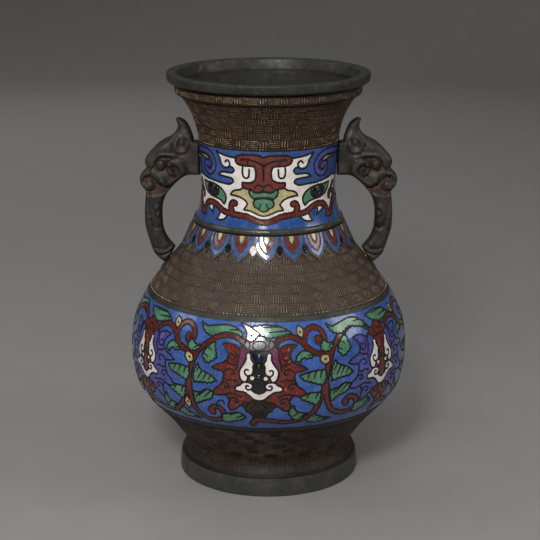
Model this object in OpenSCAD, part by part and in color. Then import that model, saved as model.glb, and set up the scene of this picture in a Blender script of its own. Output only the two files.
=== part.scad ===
// Two-handled bronze vase with inlaid enamel bands.
// Millimetres, +Z up, origin at the centre of the standing face of the foot.
// The front of the decoration faces -Y and the handles lie along +X and -X.

/* [Overall] */
// Height of the whole vase
height = 305; // [260:5:360]
// Thickness of the cast bronze wall, measured level
wall = 3.6; // [3:0.1:5]
// Depth of the recesses that hold the enamel
enamel_depth = 1.2; // [0.8:0.1:1.6]

/* [Foot] */
// Height of the plain foot ring
foot_ring_h = 13.8; // [11:0.2:16]
// Width of the standing face of the foot ring
foot_ring_w = 7.3; // [5:0.1:9]
// Thickness of the plate that closes the body
base_t = 3; // [2:0.5:5]

/* [Handles] */
// Thickness of a handle, front to back
handle_t = 13; // [10:0.5:16]
// Diameter of the tenon that holds the head of a handle to the neck
tenon_d = 8; // [6:0.5:10]
// Diameter of the pin that holds the tail of a handle to the shoulder
pin_d = 5; // [4:0.5:6]
// Thickness of the solder under the tail of a handle
solder_t = 0.8; // [0.4:0.1:1.2]

/* [Decoration] */
// Number of large hanging petals round the collar
petals = 20; // [16:1:22]
// Angle between neighbouring flowers in a group of three
flower_pitch = 56.4; // [54:0.2:60]
// Turn of the decoration against the handles
pattern_turn = -3.7; // [-6:0.1:6]
// Turn of the petal collar against the handles
petal_turn = -1.4; // [-6:0.1:6]

/* [Hidden] */
$fn = 96;

// Scale of the whole outline against its nominal 305 mm
k = height / 305;

// Outline of the body as height and radius, from the foot to the flare under the lip
OUTLINE = k * [
    [0, 67.8], [7, 67.6], [13.8, 67], [18, 65.2], [22, 63.4], [26, 62.8], [30, 65], [34, 68.3],
    [46, 77.3], [58, 88.4], [72, 98.8], [88, 102.8], [98, 103.4], [106, 103.2], [120, 101.1],
    [134, 95.3], [146, 88.4], [160, 77.7], [174, 65.4], [181, 62], [188, 59], [195, 55.8],
    [202, 52.9], [216, 49.9], [232, 50.2], [248, 51.2], [262, 52.8], [274, 56.4], [284, 61.8],
    [289.5, 66.1]
];

// Heights where one band ends and the next begins
z_foot = foot_ring_h * k;
z_waist = 30 * k;
z_belly_foot = 60.1 * k;
z_belly_low = 63.5 * k;
z_belly_high = 141.6 * k;
z_belly_joint_low = z_belly_low + (z_belly_high - z_belly_low) * 4 / 14;
z_belly_joint_high = z_belly_low + (z_belly_high - z_belly_low) * 10 / 14;
z_shoulder = 144.6 * k;
z_petals = 175.7 * k;
z_collar = 194.3 * k;
z_neck = 199.3 * k;
z_flare = 255 * k;
z_flare_joint = 280 * k;
z_flare_top = 289.5 * k;
z_lip = 297 * k;
band_step = 6 * k;

// Distance from the axis that clears every part of the body
past_body = 130 * k;

// Radii and heights of the stepped lip
rim_band_r = 68.3 * k;
lip_r = 74.4 * k;
lip_bottom_r = 73.8 * k;
mouth_r = 66.8 * k;
throat_r = 64.6 * k;
z_throat = 294 * k;
lip_edge = 0.8;
throat_step = 0.6;
lip_root = [0.4, 1.4];
lip_under_h = 1.9;
lip_bottom_h = 3.2;
rim_band_rise = 1;

// The polished ring swells this far out, from a root set a little into the neck
ring_swell = 1.6;
ring_root = 1;

// Handle: where its tenon enters the neck and its pin enters the shoulder
tenon_z = 242 * k;
tenon_depth = 9;
tenon_head_d = 12;
tenon_head_t = 1.6;
head_seat = 0.6;
pin_r = 73.5 * k;
pin_z = 166 * k;
pin_tilt = 52;
pin_out = 8;
pin_in = 9;

// Solder pad under a tail: from its inner edge and foot, its width and height, and its side margin
pad_from = [55 * k, 157 * k];
pad_size = [30 * k, 18.5 * k];
pad_margin = 1.2;
// How far the tail's end reaches into the shoulder before it is trimmed
tail_trim = 1;

// Petals: half widths as shares of the full petal, and heights of the tips
RIM_SHARE = 0.98;
OUTER_SHARE = 0.9;
INNER_SHARE = 0.6;
CORE_SHARE = 0.3;
rim_tip = 176.4;
outer_tip = 179.2;
inner_tip = 182.5;
core_tip = 187.5;

// Closed outline of a handle as distance from the axis and height: ear, brow, snout, strap,
// tail on the shoulder, back up the inside of the strap to the throat and the block at the neck
HANDLE = k * [
    [66, 269.5], [67.5, 262], [73, 256.5], [80, 252.5], [87, 245.5], [91, 239], [89.7, 233.2],
    [94.4, 227.5], [94.4, 221], [91, 214.5], [92, 200], [91, 186], [87, 172.5], [82.3, 165.5],
    [76.5, 159], [66, 168], [69.5, 175.5], [74, 181.5], [76.8, 191], [77, 203], [75, 213],
    [70.5, 219.7], [64, 226], [57, 228.2], [47, 228.4], [47, 253.9], [55.4, 254.2],
    [57.6, 261.5], [62.4, 267.8]
];
HANDLE_STEPS = 3;

// Enamel motifs as distance round the band and height up it, in millimetres, on bands whose
// surface is this long from bottom to top
NECK_ARC = 56.3;
BELLY_ARC = 82.9;
MASK_R = 51;
FACE_HALF = [
    [0, 49], [20, 50.5], [38, 53.4], [34.5, 47], [29, 43], [22.8, 42], [23, 39.4], [36, 37.2],
    [23, 35], [23, 32], [44, 32], [60, 33], [71, 31], [71, 14], [60, 16], [55, 8], [50, 16],
    [42, 17], [31, 12.5], [19, 12], [12, 8], [0, 5.5]
];
NOSE_HALF = [
    [0, 51], [8, 53.4], [18, 53], [21, 49], [17, 45.6], [6.5, 45], [6.5, 36], [9, 33.6],
    [15.6, 32.8], [15, 30], [9, 28.6], [4, 27], [0, 28]
];
JAW_HALF = [
    [0, 27], [9, 28], [15.5, 28.8], [18, 27.4], [25, 24], [14, 20.5], [12, 17], [15, 13.2],
    [8, 12.2], [0, 9]
];
EYE_CENTRE = [44.5, 23];
EYE_LONG = 14.5;
EYE_SHORT = 5.6;
EYE_TILT = 18;

BELLY_R = 100;
FLOWER_HALF = [
    [0, 70], [9, 71], [20, 64], [16, 57], [29, 52], [23, 45], [30, 33], [20, 29], [19, 18],
    [8, 24], [0, 25]
];
HEART_HALF = [
    [0, 45], [4, 48], [3, 56], [7, 61.5], [9, 56], [13, 49], [12, 41.5], [7, 41], [15, 36],
    [16, 33.5], [8, 32.5], [0, 26]
];
// Share by which a leaf is narrower at its tip than at its root
leaf_taper = 0.35;
// Leaves between two flowers: distance from the flower's axis, height, length, width, lean
LEAVES = [
    [32, 42, 17, 8, 175], [56, 45, 17, 9, -20], [31, 28, 15, 8, 160], [54, 29, 17, 8, 35],
    [24, 15, 12, 6, -55], [31, 58, 12, 6, 20], [48, 65, 12, 6, 15], [60, 61, 12, 6, 35]
];

// ---- curves -------------------------------------------------------------------------------

function slope(p, i) =
    let (a = max(i - 1, 0), b = min(i + 1, len(p) - 1)) (p[b][1] - p[a][1]) / (p[b][0] - p[a][0]);

function segment(p, z, i = 0) =
    (i >= len(p) - 2 || z < p[i + 1][0]) ? i : segment(p, z, i + 1);

// Radius of the body at a height: a smooth cubic through the outline
function radius_at(z) =
    let (
        i = segment(OUTLINE, z),
        a = OUTLINE[i],
        b = OUTLINE[i + 1],
        w = b[0] - a[0],
        t = min(max((z - a[0]) / w, 0), 1),
        t2 = t * t,
        t3 = t2 * t
    )
    (2 * t3 - 3 * t2 + 1) * a[1] + (t3 - 2 * t2 + t) * w * slope(OUTLINE, i)
    + (3 * t2 - 2 * t3) * b[1] + (t3 - t2) * w * slope(OUTLINE, i + 1);

function heights(low, high) =
    let (n = ceil((high - low) / band_step)) [for (i = [0:n]) low + (high - low) * i / n];

function reversed(list) = [for (i = [len(list) - 1:-1:0]) list[i]];

// Points up the body between two heights, set in from its surface
function side(low, high, inset) = [for (z = heights(low, high)) [radius_at(z) - inset, z]];

function catmull(a, b, c, d, t) =
    0.5 * (2 * b + (c - a) * t + (2 * a - 5 * b + 4 * c - d) * t * t
    + (3 * b - a - 3 * c + d) * t * t * t);

// Smooth closed curve through the given points
function smooth_loop(p, steps) =
    let (n = len(p))
    [for (i = [0:n - 1]) for (s = [0:steps - 1])
        catmull(p[(i + n - 1) % n], p[i], p[(i + 1) % n], p[(i + 2) % n], s / steps)];

// Both halves of a motif that is the same on its left and right
function both_halves(half) =
    let (inner = [for (i = [len(half) - 1:-1:0]) if (half[i][0] > 0) [-half[i][0], half[i][1]]])
    concat(half, inner);

// A point of a motif laid on the body: x across and z up, seen from the front
function laid(p, reference_r, low, high, arc) =
    let (z = low + p[1] * (high - low) / arc)
    [radius_at(z) * sin(p[0] / reference_r * 180 / PI), z];

function on_neck(pts) = [for (p = pts) laid(p, MASK_R, z_neck, z_flare, NECK_ARC)];
function on_belly(pts) = [for (p = pts) laid(p, BELLY_R, z_belly_low, z_belly_high, BELLY_ARC)];

// Pointed leaf outline from two shallow arcs
function leaf_outline(centre, length, width, lean) =
    [for (a = [0:30:330])
        let (x = length / 2 * cos(a), y = width / 2 * sin(a) * (1 - leaf_taper * cos(a)))
        [centre[0] + x * cos(lean) - y * sin(lean), centre[1] + x * sin(lean) + y * cos(lean)]];

// ---- helpers ------------------------------------------------------------------------------

module turned(points) {
    rotate_extrude() polygon(points);
}

// Ring of the body's wall between two heights and two depths under the surface
module shell(low, high, outer_inset, inner_inset) {
    turned(concat(side(low, high, outer_inset), reversed(side(low, high, inner_inset))));
}

// Solid of everything inside the upper body's surface, used to trim what is fixed on it
module body_inside(inset = 0) {
    turned(concat([[0, z_shoulder]], side(z_shoulder, z_petals, inset), side(z_petals, z_collar, inset),
        side(z_collar, z_neck, inset), side(z_neck, z_flare, inset),
        side(z_flare, z_flare_top, inset), [[0, z_flare_top]]));
}

// Prism seen from the front, running from the axis out past the body
module front_prism(points) {
    rotate([90, 0, 0]) linear_extrude(past_body) polygon(points);
}

module at_front_and_back() {
    for (a = [0, 180]) rotate([0, 0, a + pattern_turn]) children();
}

module at_both_sides() {
    for (a = [0, 180]) rotate([0, 0, a]) children();
}

// Flowers stand in two groups of three: index parity gives the two colours
module at_flowers(parity) {
    for (side = [0, 1]) for (i = [-1:1])
        if ((side + i + 2) % 2 == parity || parity < 0)
            rotate([0, 0, side * 180 + i * flower_pitch + pattern_turn]) children();
}

// ---- foot and base ------------------------------------------------------------------------

module foot_ring() {
    color("#3c403c")
        turned(concat([[radius_at(0) - foot_ring_w, 0]], side(0, z_foot, 0),
            [[radius_at(z_foot) - foot_ring_w, z_foot]]));
}

module base_plate() {
    color("#4a3b30")
        turned(concat([[0, z_foot]], side(z_foot, z_foot + base_t, wall), [[0, z_foot + base_t]]));
}

// ---- castings of the body -----------------------------------------------------------------

module foot_casting() {
    color("#352a25") shell(z_foot, z_waist, 0, wall);
}

module foot_flare_casting() {
    color("#3a2f29") shell(z_waist, z_belly_foot, 0, wall);
}

// The belly's wall is in three rings: the outer two carry the plain edges of the enamel band
module belly_low_casting() {
    color("#3c3a34")
        turned(concat(
            side(z_belly_foot, z_belly_low, 0), side(z_belly_low, z_belly_joint_low, enamel_depth),
            reversed(side(z_belly_low, z_belly_joint_low, wall)),
            reversed(side(z_belly_foot, z_belly_low, wall))));
}

module belly_casting() {
    color("#45423a") shell(z_belly_joint_low, z_belly_joint_high, enamel_depth, wall);
}

module belly_high_casting() {
    color("#3c3a34")
        turned(concat(
            side(z_belly_joint_high, z_belly_high, enamel_depth), side(z_belly_high, z_shoulder, 0),
            reversed(side(z_belly_high, z_shoulder, wall)),
            reversed(side(z_belly_joint_high, z_belly_high, wall))));
}

module shoulder_casting() {
    color("#4a3f38")
        difference() {
            shell(z_shoulder, z_petals, 0, wall);
            at_both_sides() pin_hole();
        }
}

// Outline of one hanging petal: half its width at the top and the height of its tip
function petal_outline(half_width, tip) =
    let (h = z_collar - tip, shape = [[0, 0], [0.5, 0.26], [0.82, 0.52], [0.97, 0.78], [1, 1]])
    both_halves([for (s = shape) [s[0] * half_width, tip + s[1] * h]]);

petal_w = radius_at(z_collar) * sin(180 / petals);
small_petal = [[0, 179], [3.8, 182.5], [3, 187], [0, 192]] * k;

module each_petal(points, half_step = 0) {
    for (i = [0:petals - 1])
        rotate([0, 0, (i + half_step) * 360 / petals + petal_turn]) front_prism(points);
}

module petal_ring(half_width, tip) {
    intersection() {
        shell(z_petals, z_collar, 0, enamel_depth);
        each_petal(petal_outline(half_width * petal_w, tip * k));
    }
}

module petal_collar_casting() {
    color("#45443e") shell(z_petals, z_collar, enamel_depth, wall);
}

// Raised bronze border round each large petal
module petal_rims() {
    color("#45443e")
        difference() {
            petal_ring(RIM_SHARE, rim_tip);
            each_petal(petal_outline(OUTER_SHARE * petal_w, outer_tip * k));
        }
}

// ---- enamel of the petals -----------------------------------------------------------------

module petal_outer_enamel() {
    color("#5566b0")
        difference() {
            petal_ring(OUTER_SHARE, outer_tip);
            each_petal(petal_outline(INNER_SHARE * petal_w, inner_tip * k));
        }
}

module petal_inner_enamel() {
    color("#8c3a40")
        difference() {
            petal_ring(INNER_SHARE, inner_tip);
            each_petal(petal_outline(CORE_SHARE * petal_w, core_tip * k));
        }
}

module petal_core_enamel() {
    color("#cfc68c") petal_ring(CORE_SHARE, core_tip);
}

module small_petal_enamel() {
    color("#1c2234")
        difference() {
            intersection() {
                shell(z_petals, z_collar, enamel_depth / 2, enamel_depth);
                each_petal(both_halves(small_petal), 0.5);
            }
            each_petal(petal_outline(RIM_SHARE * petal_w, rim_tip * k));
        }
}

// ---- neck ---------------------------------------------------------------------------------

module neck_collar_ring() {
    mid = (z_collar + z_neck) / 2;
    half = (z_neck - z_collar) / 2;
    color("#5a5b52")
        turned(concat(
            [for (a = [-90:15:90]) [radius_at(mid) - ring_root + ring_swell * cos(a), mid + half * sin(a)]],
            reversed(side(z_collar, z_neck, wall))));
}

module neck_casting() {
    color("#3c3a34")
        difference() {
            shell(z_neck, z_flare, enamel_depth, wall);
            at_both_sides() tenon_hole();
        }
}

module neck_flare_casting() {
    color("#332823")
        shell(z_flare, z_flare_joint, 0, wall);
}

module mouth_band_casting() {
    color("#3a302a")
        turned(concat(
            side(z_flare_joint, z_flare_top, 0),
            [[rim_band_r, z_flare_top + rim_band_rise], [rim_band_r, z_lip]],
            [[throat_r + throat_step, z_lip], [throat_r, z_throat]],
            reversed(side(z_flare_joint, z_flare_top, wall))));
}

module mouth_rim() {
    top = height;
    color("#44463e")
        turned([
            [throat_r + throat_step, z_lip], [rim_band_r, z_lip],
            [rim_band_r + lip_root[0], z_lip + lip_root[1]], [lip_bottom_r, z_lip + lip_under_h],
            [lip_r, z_lip + lip_bottom_h], [lip_r, top - lip_edge],
            [lip_r - lip_edge, top], [mouth_r + lip_edge, top], [mouth_r, top - lip_edge]
        ]);
}

// ---- enamel of the neck -------------------------------------------------------------------

module neck_band() {
    shell(z_neck, z_flare, 0, enamel_depth);
}

module face_shape() {
    at_front_and_back() front_prism(on_neck(both_halves(FACE_HALF)));
}

module nose_shape() {
    at_front_and_back() front_prism(on_neck(both_halves(NOSE_HALF)));
}

module jaw_shape() {
    at_front_and_back() front_prism(on_neck(both_halves(JAW_HALF)));
}

module eye_shape() {
    for (s = [-1, 1])
        at_front_and_back()
            front_prism(on_neck(leaf_outline([s * EYE_CENTRE[0], EYE_CENTRE[1]], 2 * EYE_LONG,
                2 * EYE_SHORT, s > 0 ? EYE_TILT : 180 - EYE_TILT)));
}

module neck_ground_enamel() {
    color("#3c64aa")
        difference() {
            neck_band();
            face_shape();
            nose_shape();
            at_both_sides() tenon_hole();
        }
}

module mask_face_enamel() {
    color("#d7cdc8")
        difference() {
            intersection() {
                neck_band();
                face_shape();
            }
            nose_shape();
            jaw_shape();
            eye_shape();
        }
}

module mask_nose_enamel() {
    color("#782d28")
        intersection() {
            neck_band();
            nose_shape();
        }
}

module mask_jaw_enamel() {
    color("#beaf6e")
        difference() {
            intersection() {
                neck_band();
                jaw_shape();
            }
            nose_shape();
        }
}

module mask_eye_enamel() {
    color("#468c64")
        intersection() {
            neck_band();
            eye_shape();
        }
}

// ---- enamel of the belly ------------------------------------------------------------------

module belly_band() {
    shell(z_belly_low, z_belly_high, 0, enamel_depth);
}

module flower_shape(parity) {
    at_flowers(parity) front_prism(on_belly(both_halves(FLOWER_HALF)));
}

module heart_shape() {
    at_flowers(-1) front_prism(on_belly(both_halves(HEART_HALF)));
}

module leaf_shape() {
    for (leaf = LEAVES)
        at_flowers(-1)
            front_prism(on_belly(leaf_outline([leaf[0], leaf[1]], leaf[2], leaf[3], leaf[4])));
}

module belly_ground_enamel() {
    color("#3c64aa")
        difference() {
            belly_band();
            flower_shape(-1);
            leaf_shape();
        }
}

module flower(parity) {
    difference() {
        intersection() {
            belly_band();
            flower_shape(parity);
        }
        heart_shape();
    }
}

module red_flower_enamel() {
    color("#6e2420") flower(1);
}

module purple_flower_enamel() {
    color("#4b4ba0") flower(0);
}

module flower_heart_enamel() {
    color("#dcd2cd")
        intersection() {
            belly_band();
            heart_shape();
        }
}

module leaf_enamel() {
    color("#468c64")
        difference() {
            intersection() {
                belly_band();
                leaf_shape();
            }
            flower_shape(-1);
        }
}

// ---- handles and what holds them ----------------------------------------------------------

module tenon_hole() {
    translate([0, 0, tenon_z]) rotate([0, 90, 0])
        cylinder(d = tenon_d, h = radius_at(tenon_z) + tenon_depth);
}

module pin_hole() {
    translate([pin_r, 0, pin_z]) rotate([0, pin_tilt, 0]) translate([0, 0, -pin_in])
        cylinder(d = pin_d, h = pin_in + pin_out);
}

// Thin pad of solder on the shoulder under the tail of one handle
module solder_pad() {
    difference() {
        intersection() {
            shell(z_shoulder, z_petals, -solder_t, 0);
            translate([pad_from[0], -handle_t / 2 - pad_margin, pad_from[1]])
                cube([pad_size[0], handle_t + 2 * pad_margin, pad_size[1]]);
        }
        pin_hole();
    }
}

module handle() {
    color("#3b322c")
        difference() {
            rotate([90, 0, 0]) linear_extrude(handle_t, center = true)
                polygon(smooth_loop(HANDLE, HANDLE_STEPS));
            body_inside();
            shell(z_shoulder, z_petals, -solder_t, tail_trim);
            tenon_hole();
            pin_hole();
        }
}

module right_handle() {
    handle();
}

module left_handle() {
    rotate([0, 0, 180]) handle();
}

// Each tenon ends in a flat head against the inside of the neck
module handle_tenons() {
    color("#5f4a2c")
        at_both_sides()
            difference() {
                union() {
                    tenon_hole();
                    translate([0, 0, tenon_z]) rotate([0, 90, 0])
                        cylinder(d = tenon_head_d, h = radius_at(tenon_z) - wall + head_seat);
                }
                body_inside(wall + tenon_head_t);
                difference() {
                    shell(z_neck, z_flare, 0, wall);
                    tenon_hole();
                }
            }
}

module handle_pins() {
    color("#5f4a2c") at_both_sides() pin_hole();
}

module handle_solder() {
    color("#7a6f4a") at_both_sides() solder_pad();
}

foot_ring();
base_plate();
foot_casting();
foot_flare_casting();
belly_low_casting();
belly_casting();
belly_high_casting();
shoulder_casting();
petal_collar_casting();
petal_rims();
neck_collar_ring();
neck_casting();
neck_flare_casting();
mouth_band_casting();
mouth_rim();
left_handle();
right_handle();
handle_tenons();
handle_pins();
handle_solder();
neck_ground_enamel();
mask_face_enamel();
mask_nose_enamel();
mask_jaw_enamel();
mask_eye_enamel();
petal_outer_enamel();
petal_inner_enamel();
petal_core_enamel();
small_petal_enamel();
belly_ground_enamel();
red_flower_enamel();
purple_flower_enamel();
flower_heart_enamel();
leaf_enamel();
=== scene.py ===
import math

import bpy
import numpy as np
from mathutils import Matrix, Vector, noise
from mathutils.geometry import delaunay_2d_cdt


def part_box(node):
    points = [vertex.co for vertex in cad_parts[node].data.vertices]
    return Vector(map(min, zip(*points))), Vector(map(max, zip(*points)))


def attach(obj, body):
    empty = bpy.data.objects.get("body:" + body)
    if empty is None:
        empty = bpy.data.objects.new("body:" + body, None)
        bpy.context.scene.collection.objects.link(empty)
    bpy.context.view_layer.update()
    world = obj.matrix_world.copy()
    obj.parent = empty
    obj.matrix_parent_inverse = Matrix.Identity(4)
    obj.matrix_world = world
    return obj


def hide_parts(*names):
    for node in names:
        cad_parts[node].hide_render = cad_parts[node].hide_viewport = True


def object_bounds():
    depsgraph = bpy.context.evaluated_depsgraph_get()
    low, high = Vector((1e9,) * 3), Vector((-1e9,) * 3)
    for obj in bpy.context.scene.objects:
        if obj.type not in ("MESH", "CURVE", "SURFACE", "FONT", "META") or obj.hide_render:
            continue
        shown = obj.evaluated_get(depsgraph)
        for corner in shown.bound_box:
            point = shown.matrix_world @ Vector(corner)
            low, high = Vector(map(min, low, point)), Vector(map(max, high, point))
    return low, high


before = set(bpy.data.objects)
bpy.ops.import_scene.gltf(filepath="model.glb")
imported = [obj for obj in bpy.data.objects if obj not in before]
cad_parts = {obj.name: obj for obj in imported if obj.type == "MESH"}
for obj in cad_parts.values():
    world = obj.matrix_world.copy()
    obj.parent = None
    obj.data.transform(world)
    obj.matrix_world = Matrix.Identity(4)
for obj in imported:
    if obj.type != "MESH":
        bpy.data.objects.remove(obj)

for start_object in ("Cube", "Light", "Camera"):
    if start_object in bpy.data.objects:
        bpy.data.objects.remove(bpy.data.objects[start_object])
CAD_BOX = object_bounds()

# ---------- Sizes, in millimetres of a vase 305 tall; UNIT turns them into the frame's metres
UNIT = (CAD_BOX[1].z - CAD_BOX[0].z) / 305


def low(node):
    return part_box(node)[0].z / UNIT


def high(node):
    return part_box(node)[1].z / UNIT


def widest(node):
    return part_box(node)[1].x / UNIT


Z_FOOT = high("foot_ring")
Z_BELLY_FOOT = low("belly_low_casting")
Z_BELLY_LOW = low("belly_ground_enamel")
Z_BELLY_HIGH = high("belly_ground_enamel")
Z_SHOULDER = low("shoulder_casting")
Z_PETALS = low("petal_collar_casting")
Z_COLLAR = low("neck_collar_ring")
Z_NECK = low("neck_casting")
Z_FLARE = low("neck_flare_casting")
Z_LIP = low("mouth_rim")
Z_TOP = high("mouth_rim")
Z_RIDGE = Z_LIP - 7.5     # foot of the raised band under the lip
Z_THROAT = 289            # above it the inside leaves the body's outline
LIP_R = widest("mouth_rim")
RIDGE_R = 68.3

WALL = 3.6          # thickness of the casting
SINK = 1.15         # depth of the recesses that hold the enamel
GROUND = 0.5        # how far the fret's ground lies under the body's surface
ENAMEL_TOP = -0.34  # heights of the enamel and of the walls between its colours, from the surface
WALL_EDGE = -0.2
WALL_CREST = -0.06

# Outline of the body as height and radius, as the CAD model has it
OUTLINE = [
    (0, 67.8), (7, 67.6), (13.8, 67), (18, 65.2), (22, 63.4), (26, 62.8), (30, 65), (34, 68.3),
    (46, 77.3), (58, 88.4), (72, 98.8), (88, 102.8), (98, 103.4), (106, 103.2), (120, 101.1),
    (134, 95.3), (146, 88.4), (160, 77.7), (174, 65.4), (181, 62), (188, 59), (195, 55.8),
    (202, 52.9), (216, 49.9), (232, 50.2), (248, 51.2), (262, 52.8), (274, 56.4), (284, 61.8),
    (289.5, 66.1)]

# Each band's drawing is a little off the line between the handles
BELLY_TURN = math.radians(-3.7)
NECK_TURN = math.radians(-4.05)
COLLAR_TURN = math.radians(-1.4)
FLOWER_PITCH = 56.4       # degrees from one flower to the next
# Radii at which a drawing's millimetres are true
BELLY_R = 100
MASK_R = 51
PETAL_R = 60
BOTH_FACES = (0.0, math.pi)


def outline_slope(i):
    a = OUTLINE[max(i - 1, 0)]
    b = OUTLINE[min(i + 1, len(OUTLINE) - 1)]
    return (b[1] - a[1]) / (b[0] - a[0])


def radius_at(z):
    """Radius of the body at a height: the same cubic as in the CAD model."""
    i = 0
    while i < len(OUTLINE) - 2 and z >= OUTLINE[i + 1][0]:
        i += 1
    (za, ra), (zb, rb) = OUTLINE[i], OUTLINE[i + 1]
    w = zb - za
    t = min(max((z - za) / w, 0), 1)
    t2, t3 = t * t, t * t * t
    return ((2 * t3 - 3 * t2 + 1) * ra + (t3 - 2 * t2 + t) * w * outline_slope(i)
            + (3 * t2 - 2 * t3) * rb + (t3 - t2) * w * outline_slope(i + 1))


# ---------- Curves in the plane
C = 1  # third entry of a point where the outline turns a corner


def smooth(points, closed=True, step=0.8):
    """Smooth curve through the points; a point with a third entry stays a corner."""
    n = len(points)
    p = [Vector(q[:2]) for q in points]
    sharp = [len(q) > 2 for q in points]
    if not closed:
        sharp[0] = sharp[-1] = True

    def tangent(i, other):
        if sharp[i]:
            return (p[other % n] - p[i]).normalized() * (1 if other > i or (other == 0 and i) else -1)
        a, b = p[i - 1], p[(i + 1) % n]
        da, db = (p[i] - a).length + 1e-9, (b - p[i]).length + 1e-9
        return ((p[i] - a) / da * db + (b - p[i]) / db * da) / (da + db)

    out = []
    for i in range(n if closed else n - 1):
        j = (i + 1) % n
        d = (p[j] - p[i]).length
        if d < 1e-6:
            continue
        along = (p[j] - p[i]) / d
        m0 = along if sharp[i] else tangent(i, j)
        m1 = along if sharp[j] else tangent(j, i)
        k = max(1, round(d / step))
        for s in range(k):
            t = s / k
            t2, t3 = t * t, t * t * t
            q = (p[i] * (2 * t3 - 3 * t2 + 1) + m0 * d * (t3 - 2 * t2 + t)
                 + p[j] * (3 * t2 - 2 * t3) + m1 * d * (t3 - t2))
            out.append((q.x, q.y))
    if not closed:
        out.append((p[-1].x, p[-1].y))
    return out


def at(x, y, like):
    """The point (x, y), turning a corner where the given point does."""
    return (x, y) + tuple(like[2:])


def flip(points):
    """Mirror image about the axis."""
    return [at(-q[0], q[1], q) for q in points]


def pair(shape):
    """A shape and its mirror image."""
    return shape, flip(shape)


def both(half):
    """Closed outline from its right half, which starts and ends on the axis."""
    return list(half) + flip([q for q in reversed(half) if q[0] > 0.01])


def both_up(half):
    """Closed outline from its right half, which starts off the axis and ends on it."""
    return list(half) + flip(reversed(half[:-1]))


def moved(points, dx):
    return [at(q[0] + dx, q[1], q) for q in points]


def area(poly):
    return 0.5 * sum(a[0] * b[1] - b[0] * a[1] for a, b in zip(poly, poly[1:] + poly[:1]))


def ccw(poly):
    return poly if area(poly) > 0 else poly[::-1]


def edges_of_line(pts, width, closed):
    """Left and right edges of a line of the given width, drawn along the points."""
    n = len(pts)
    left, right = [], []
    for i, q in enumerate(pts):
        a = pts[i - 1] if (i or closed) else q
        b = pts[(i + 1) % n] if (i < n - 1 or closed) else q
        dx, dy = b[0] - a[0], b[1] - a[1]
        d = math.hypot(dx, dy) or 1
        w = width(i / max(n - 1, 1)) if callable(width) else width
        w *= 0.5 * (1 + 0.12 * noise.noise(Vector((q[0] * 0.35, q[1] * 0.35, 3.1))))
        left.append((q[0] - dy / d * w, q[1] + dx / d * w))
        right.append((q[0] + dy / d * w, q[1] - dx / d * w))
    return left, right


def disc(x, y, r, n=10):
    return [(x + r * math.cos(2 * math.pi * i / n), y + r * math.sin(2 * math.pi * i / n))
            for i in range(n)]


def inside_polygon(points, poly):
    """Which of the points lie inside the polygon."""
    x, y = points[:, 0:1], points[:, 1:2]
    ax, ay = poly[:, 0], poly[:, 1]
    bx, by = np.roll(ax, -1), np.roll(ay, -1)
    spans = (ay > y) != (by > y)
    rise = np.where(by == ay, 1, by - ay)
    crosses = x < (bx - ax) * (y - ay) / rise + ax
    return (np.sum(spans & crosses, axis=1) % 2) == 1


def gap_to(points, line, closed=False):
    """Distance from each point to a line of straight pieces."""
    best = np.full(len(points), 1e9)
    n = len(line)
    for i in range(n if closed else n - 1):
        a, b = np.array(line[i][:2]), np.array(line[(i + 1) % n][:2])
        ab = b - a
        t = np.clip(((points - a) @ ab) / max(ab @ ab, 1e-9), 0, 1)
        best = np.minimum(best, np.hypot(*(points - a - t[:, None] * ab).T))
    return best


def triangulate(verts, edges, tolerance):
    """Triangles between the points that keep the edges: points, corners and twice each area."""
    out = delaunay_2d_cdt(verts, edges, [], 0, tolerance, False)
    points = np.array([tuple(q) for q in out[0]])
    corners = np.array([face for face in out[2] if len(face) == 3])
    a, b, c = (points[corners[:, k]] for k in range(3))
    cross = (b[:, 0] - a[:, 0]) * (c[:, 1] - a[:, 1]) - (b[:, 1] - a[:, 1]) * (c[:, 0] - a[:, 0])
    corners[cross < 0] = corners[cross < 0][:, ::-1]
    return points, corners, np.abs(cross)


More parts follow.
